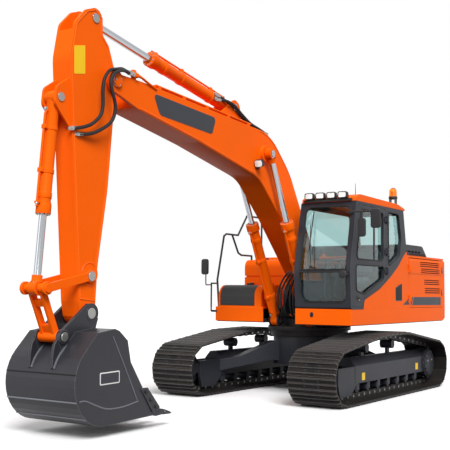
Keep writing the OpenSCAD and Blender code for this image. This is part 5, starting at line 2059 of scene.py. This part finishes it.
@dataclass(frozen=True)
class Cylinder:
    """Gland bolts, bands, feed pipe and painted rod end of one cylinder."""

    name: str
    foot: Pair
    pin: Pair
    y: float
    # Distance of the gland's face from the foot
    gland: float
    radius: float
    gland_radius: float
    rod_radius: float
    eye_radius: float
    eye_width: float
    barrel: Body
    rod: Body
    pipe_side: float = 1.0

    def _at(self, along: float, up: float = 0.0, y: float = 0.0) -> Vector:
        """Place along the axis from the foot, lifted square to it.

        Args:
            along: Distance from the foot.
            up: Distance off the axis on the feed pipe's side.
            y: Distance across.

        Returns:
            The place in the world.
        """
        a, b = Vector(self.foot), Vector(self.pin)
        t = (b - a).normalized()
        p = a + t * along + Vector((-t.y, t.x)) * up * self.pipe_side
        return Vector((p.x, self.y + y, p.y))

    def build(self) -> None:
        """Makes the barrel's and the rod's added pieces."""
        way = self._at(1.0) - self._at(0.0)
        up = self._at(0.0, 1.0) - self._at(0.0)
        full = (Vector(self.pin) - Vector(self.foot)).length
        shape = Shape(PIN)
        ring = self.gland_radius - 0.017
        for i in range(10):
            a = math.tau * i / 10
            shape.bolt(
                facing(self._at(self.gland, ring * math.cos(a), ring * math.sin(a)), way), 0.009, 0.012,
            )
        shape.use(ORANGE)
        for d, wide in ((self.gland - 0.13, 0.03), (self.gland * 0.62, 0.05), (self.gland * 0.25, 0.05)):
            r, swell = self.radius, self.radius + 0.007
            band = [(0, r), (0.003, swell), (wide - 0.003, swell), (wide, r)]
            shape.lathe(facing(self._at(d), way), band, 36, caps=False)
            shape.pillow(
                facing(self._at(d + wide / 2, self.radius + 0.022), up, way), (0.06, wide, 0.05), 0.008,
                0.004,
            )
        reach = self.radius + 0.034
        run = (
            (0.17, self.radius * 0.8), (0.17, reach - 0.015), (0.2, reach), (self.gland - 0.16, reach),
            (self.gland - 0.1, reach - 0.004), (self.gland - 0.07, self.gland_radius * 0.8),
        )
        shape.pipe([self._at(*spot) for spot in run], 0.03, 0.014, 10)
        shape.use(PIN)
        for d in (0.15, self.gland - 0.1):
            shape.bolt(facing(self._at(d, reach - 0.004), up), 0.018, 0.02)
        shape.build(self.name + "_barrel_trim", self.barrel, Slot.ORANGE)
        end = Shape(ORANGE)
        neck = full - self.eye_radius
        r, collar = self.rod_radius, self.rod_radius + 0.0135
        end.lathe(
            facing(self._at(neck - 0.06), way), [(0, r), (0.001, collar), (0.05, collar), (0.075, r + 0.02)],
            32, caps=False,
        )
        wide, r, edge = self.eye_width + 0.002, self.eye_radius + 0.0003, 0.0005
        eye = [(0, r * 0.6), (0, r - edge), (edge, r), (wide - edge, r), (wide, r - edge), (wide, r * 0.6)]
        end.lathe(facing(self._at(full, 0.0, -wide / 2), LEFT), eye, 144, caps=False)
        end.build(self.name + "_rod_end", self.rod, Slot.ORANGE)


@dataclass(frozen=True)
class Linkage:
    """Webs of the H-shaped link, and the cylinders that move boom, arm and bucket."""

    lower: Pair = (0.443, -0.249)
    upper: Pair = (0.683, 0.274)

    def build(self) -> None:
        """Makes the webs and the trim of all cylinders."""
        low, high = BONES.at_tip(*self.lower), BONES.at_tip(*self.upper)
        way = (high - low).normalized()
        length = (high - low).length
        face = Vector(LEFT).cross(way)
        shape = Shape(ORANGE)
        for d, tall in ((0.1, 0.1), (length - 0.17, 0.08)):
            shape.pillow(facing(low + way * d, face, way), (0.14, tall, 0.05), 0.012, 0.006)
        shape.build("link_webs", Body.LINK, Slot.ORANGE)
        flat = self._flat
        for side, name in ((1, "left_boom"), (-1, "right_boom")):
            Cylinder(
                name, (0.566, 1.15), flat(BONES.on_boom(2.477, 1.06)), y=side * 0.31, gland=1.69, radius=0.08,
                gland_radius=0.102, rod_radius=0.048, eye_radius=0.084, eye_width=0.084,
                barrel=Body.BOOM_BARRELS, rod=Body.BOOM_RODS, pipe_side=-1.0,
            ).build()
        Cylinder(
            "arm_cylinder", flat(BONES.on_boom(3.345, 1.307)), flat(BONES.on_arm(-0.642, 0.402)), y=0.0,
            gland=1.87, radius=0.084, gland_radius=0.098, rod_radius=0.05, eye_radius=0.092, eye_width=0.15,
            barrel=Body.ARM_BARREL, rod=Body.ARM_ROD,
        ).build()
        Cylinder(
            "bucket_cylinder", flat(BONES.on_arm(0.432, 0.78)), flat(high), y=0.0,
            gland=1.31, radius=0.072, gland_radius=0.084, rod_radius=0.044, eye_radius=0.08, eye_width=0.11,
            barrel=Body.BUCKET_BARREL, rod=Body.BUCKET_ROD,
        ).build()

    @staticmethod
    def _flat(p: Vector) -> Pair:
        """Side view of a point."""
        return p.x, p.z


@dataclass(frozen=True)
class Arm:
    """Welds and the blank yellow plate of the arm."""

    ring: Pair = (2.3, 0.05)
    ring_radius: float = 0.13

    def _outline(self) -> Outline:
        """Side view of the arm in its own axes.

        Returns:
            The outline.
        """
        return soft([
            (-0.69, 0.285, 0), (-0.49, 0.25, 0.06), (-0.4, 0.13, 0.08), (-0.18, 0.005, 0.15), (0, -0.06, 0.2),
            (1.286, -0.107, 3.0), (2.187, -0.07, 0.9),
            (2.6, -0.098, 0), (2.6, 0.183, 0), (0.711, 0.582, 3.0), (-0.06, 0.74, 0.5), (-0.482, 0.715, 0.15),
            (-0.69, 0.56, 0.08), (-0.76, 0.42, 0),
        ], 10)

    def build(self) -> None:
        """Makes the arm's pieces."""
        welds = Shape(ORANGE_WELD)
        line = inset(self._outline(), 0.026)
        for side in (-1, 1):
            run = [BONES.on_arm(spot.x, spot.y, side * BONES.arm_half) for spot in line]
            welds.tube(refine(run + run[:1], WELD_STEP)[:-1], WELD_RADIUS, 6, WELD_RIPPLE, True)
            ring = []
            for a in (math.pi * k / 40 for k in range(80)):
                spot = (
                    self.ring_radius * math.cos(a) + self.ring[0],
                    self.ring_radius * math.sin(a) + self.ring[1],
                )
                ring.append(BONES.on_arm(*spot, side * BONES.arm_half))
            welds.tube(ring, 0.006, 6, WELD_RIPPLE, True)
        welds.build("arm_welds", Body.ARM, Slot.ORANGE)
        plate = Shape(YELLOW)
        corners = [(5.853, 4.333, 0.01), (5.843, 4.012, 0.01), (5.666, 4.05, 0.01), (5.676, 4.376, 0.01)]
        plate.slab(soft(corners, 3), BONES.arm_half - 0.001, BONES.arm_half + 0.003)
        plate.build("blank_yellow_plate", Body.ARM, Slot.PLASTIC)


@dataclass(frozen=True)
class Bucket:
    """Teeth, ears, welds, cutter bolts and the blank plate of the bucket."""

    half: float = 0.518
    teeth: int = 5
    lip: Pair = (-0.8, -1.18)
    heel: Pair = (0.14, -0.74)
    back: float = 0.466
    cutter_bolts: tuple[Pair, ...] = ((-0.56, -0.9), (-0.65, -0.995), (-0.745, -1.085))

    def build(self) -> None:
        """Makes the bucket's pieces."""
        self._teeth()
        self._sides()

    def _teeth(self) -> None:
        """Adapters welded on the lip with stepped teeth and their pins."""
        shape = Shape(BUCKET)
        reach = self.half - 0.06
        adapter = (
            (0.0, -0.02, 0.064, 0.047), (-0.06, -0.017, 0.062, 0.048), (-0.135, -0.012, 0.05, 0.044),
            (-0.142, -0.008, 0.044, 0.036),
        )
        tooth = (
            (-0.118, -0.014, 0.051, 0.046), (-0.128, -0.017, 0.052, 0.048), (-0.2, -0.02, 0.031, 0.044),
            (-0.27, -0.023, 0.008, 0.038), (-0.306, -0.024, -0.007, 0.034), (-0.31, -0.022, -0.01, 0.03),
        )
        for i in range(self.teeth):
            y = -reach + 2 * reach * i / (self.teeth - 1)
            for sections in (adapter, tooth):
                rings = []
                for x, low, high, wide in sections:
                    flat = round_rect(2 * wide, high - low, 0.008, 2)
                    rings.append([
                        BONES.at_tip(self.lip[0] + x, self.lip[1] + (low + high) / 2 + v, y + u)
                        for u, v in flat
                    ])
                shape.use(BUCKET).loft(rings)
            at = BONES.at_tip(self.lip[0] - 0.16, self.lip[1] + 0.018, y - 0.047)
            shape.use(PIN).lathe(
                facing(at, LEFT), [(0, 0.008), (0.002, 0.01), (0.092, 0.01), (0.094, 0.008)], 12,
            )
        piece = shape.build("bucket_tooth_row", Body.BUCKET, Slot.BUCKET, 0.003)
        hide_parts("bucket_teeth")

    def _ears(self) -> None:
        """Gussets that carry the ears down the back, and collars round the pins."""
        shape = Shape(BUCKET)
        outline = [
            (0.365, -0.35), (0.429, -0.395), (0.509, -0.482), (0.563, -0.586), (0.6, -0.575), (0.592, -0.44),
            (0.575, -0.33), (0.53, -0.27), (0.44, -0.25),
        ]
        for side in (-1, 1):
            rings = [[BONES.at_tip(x, z, side * y) for x, z in outline] for y in (0.151, 0.185)]
            shape.loft(rings)
            for x, z, r, high in ((0.0, 0.0, 0.092, 0.005), (0.443, -0.249, 0.08, 0.016)):
                shape.lathe(
                    facing(BONES.at_tip(x, z, side * 0.186), (0, side, 0)),
                    [(0, r), (high - 0.002, r), (high, r - 0.006), (high, r * 0.7)], 40, caps=False,
                )
        shape.build("ear_gussets", Body.BUCKET, Slot.BUCKET, 0.004)

    def _sides(self) -> None:
        """Weld curves, ears, cutter bolts and the blank plate on the left side."""
        welds = Shape(WELD)
        for side in (-1, 1):
            y = side * self.half
            cheek = [(6.06, 0.43), (5.956, 0.425), (5.78, 0.36), (5.603, 0.311), (5.35, 0.31), (5.09, 0.347)]
            welds.pipe([(x, y, z) for x, z in cheek], 0.014, 0.008, 6, WELD_RIPPLE)
            welds.pipe([(5.543, y, 1.09), (5.33, y, 0.74), (5.108, y, 0.36)], 0.014, 0.007, 6, WELD_RIPPLE)
        heel = BONES.at_tip(*self.heel)
        for degrees, finish, r in ((13.6, DARK_MESH_AND_PAINTED_SHADE, 0.006), (-22.6, WELD, 0.009), (-52.0, WELD, 0.007)):
            a = math.radians(degrees)
            x, z = heel.x + self.back * math.cos(a), heel.z + self.back * math.sin(a)
            welds.use(finish).tube(
                [Vector((x, -self.half + 0.014 * k, z)) for k in range(75)], r, 6, ripple=0.2,
            )
        welds.use(WELD)
        arc = [math.radians(20 + 2.5 * k) for k in range(19)]
        r = self.back + 0.002
        for y in (-0.19, -0.146, 0.146, 0.19):
            run = [Vector((heel.x + r * math.cos(a), y, heel.z + r * math.sin(a))) for a in arc]
            welds.tube(run, 0.011, 6, ripple=0.15)
        welds.build("bucket_welds", Body.BUCKET, Slot.BUCKET)
        self._ears()
        bolts = Shape(IRON)
        for side in (-1, 1):
            for x, z in self.cutter_bolts:
                at = BONES.at_tip(x, z, side * (self.half + 0.0155))
                bolts.bolt(facing(at, (0, side, 0)), 0.019, 0.02)
        bolts.build("cutter_bolts", Body.BUCKET, Slot.BUCKET)
        plate = Shape(BORDER)
        place = facing((5.582, self.half + 0.001, 0.643), LEFT, (0.02, 0, 1))
        plate.pillow(place, (0.325, 0.135, 0.003), 0.016, 0.001, 1)
        plate.use(BADGE).pillow(lift(place, 0.0012), (0.3, 0.11, 0.002), 0.01, 0.0006, 1)
        plate.build("blank_bucket_plate", Body.BUCKET, Slot.BUCKET)


def write_sizes() -> None:
    """Puts the CAD box and the visual model's box into plain lists."""
    boxes = {"cad": CAD_BOX, "visual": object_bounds()}
    plain = {name: [[float(v) for v in corner] for corner in box] for name, box in boxes.items()}


def main() -> None:
    """Builds the studio and every sub-assembly in order, and reports each piece."""
    logging.basicConfig(level=logging.INFO)
    assemblies = (
        Studio(),
        Boom(),
        CadDresser(),
        TrackChain(1, "track_chain_left", "track_left"),
        TrackChain(-1, "track_chain_right", "track_right"),
        UndercarriageDetail(),
        Cab(),
        House(),
        Arm(),
        Linkage(),
        Bucket(),
    )
    for assembly in assemblies:
        known = {piece.name for piece in bpy.data.objects}
        assembly.build()
        for piece in bpy.data.objects:
            if piece.name not in known:
                LOG.info("%s made %s", type(assembly).__name__, piece.name)
    write_sizes()


if __name__ == "__main__":
    main()
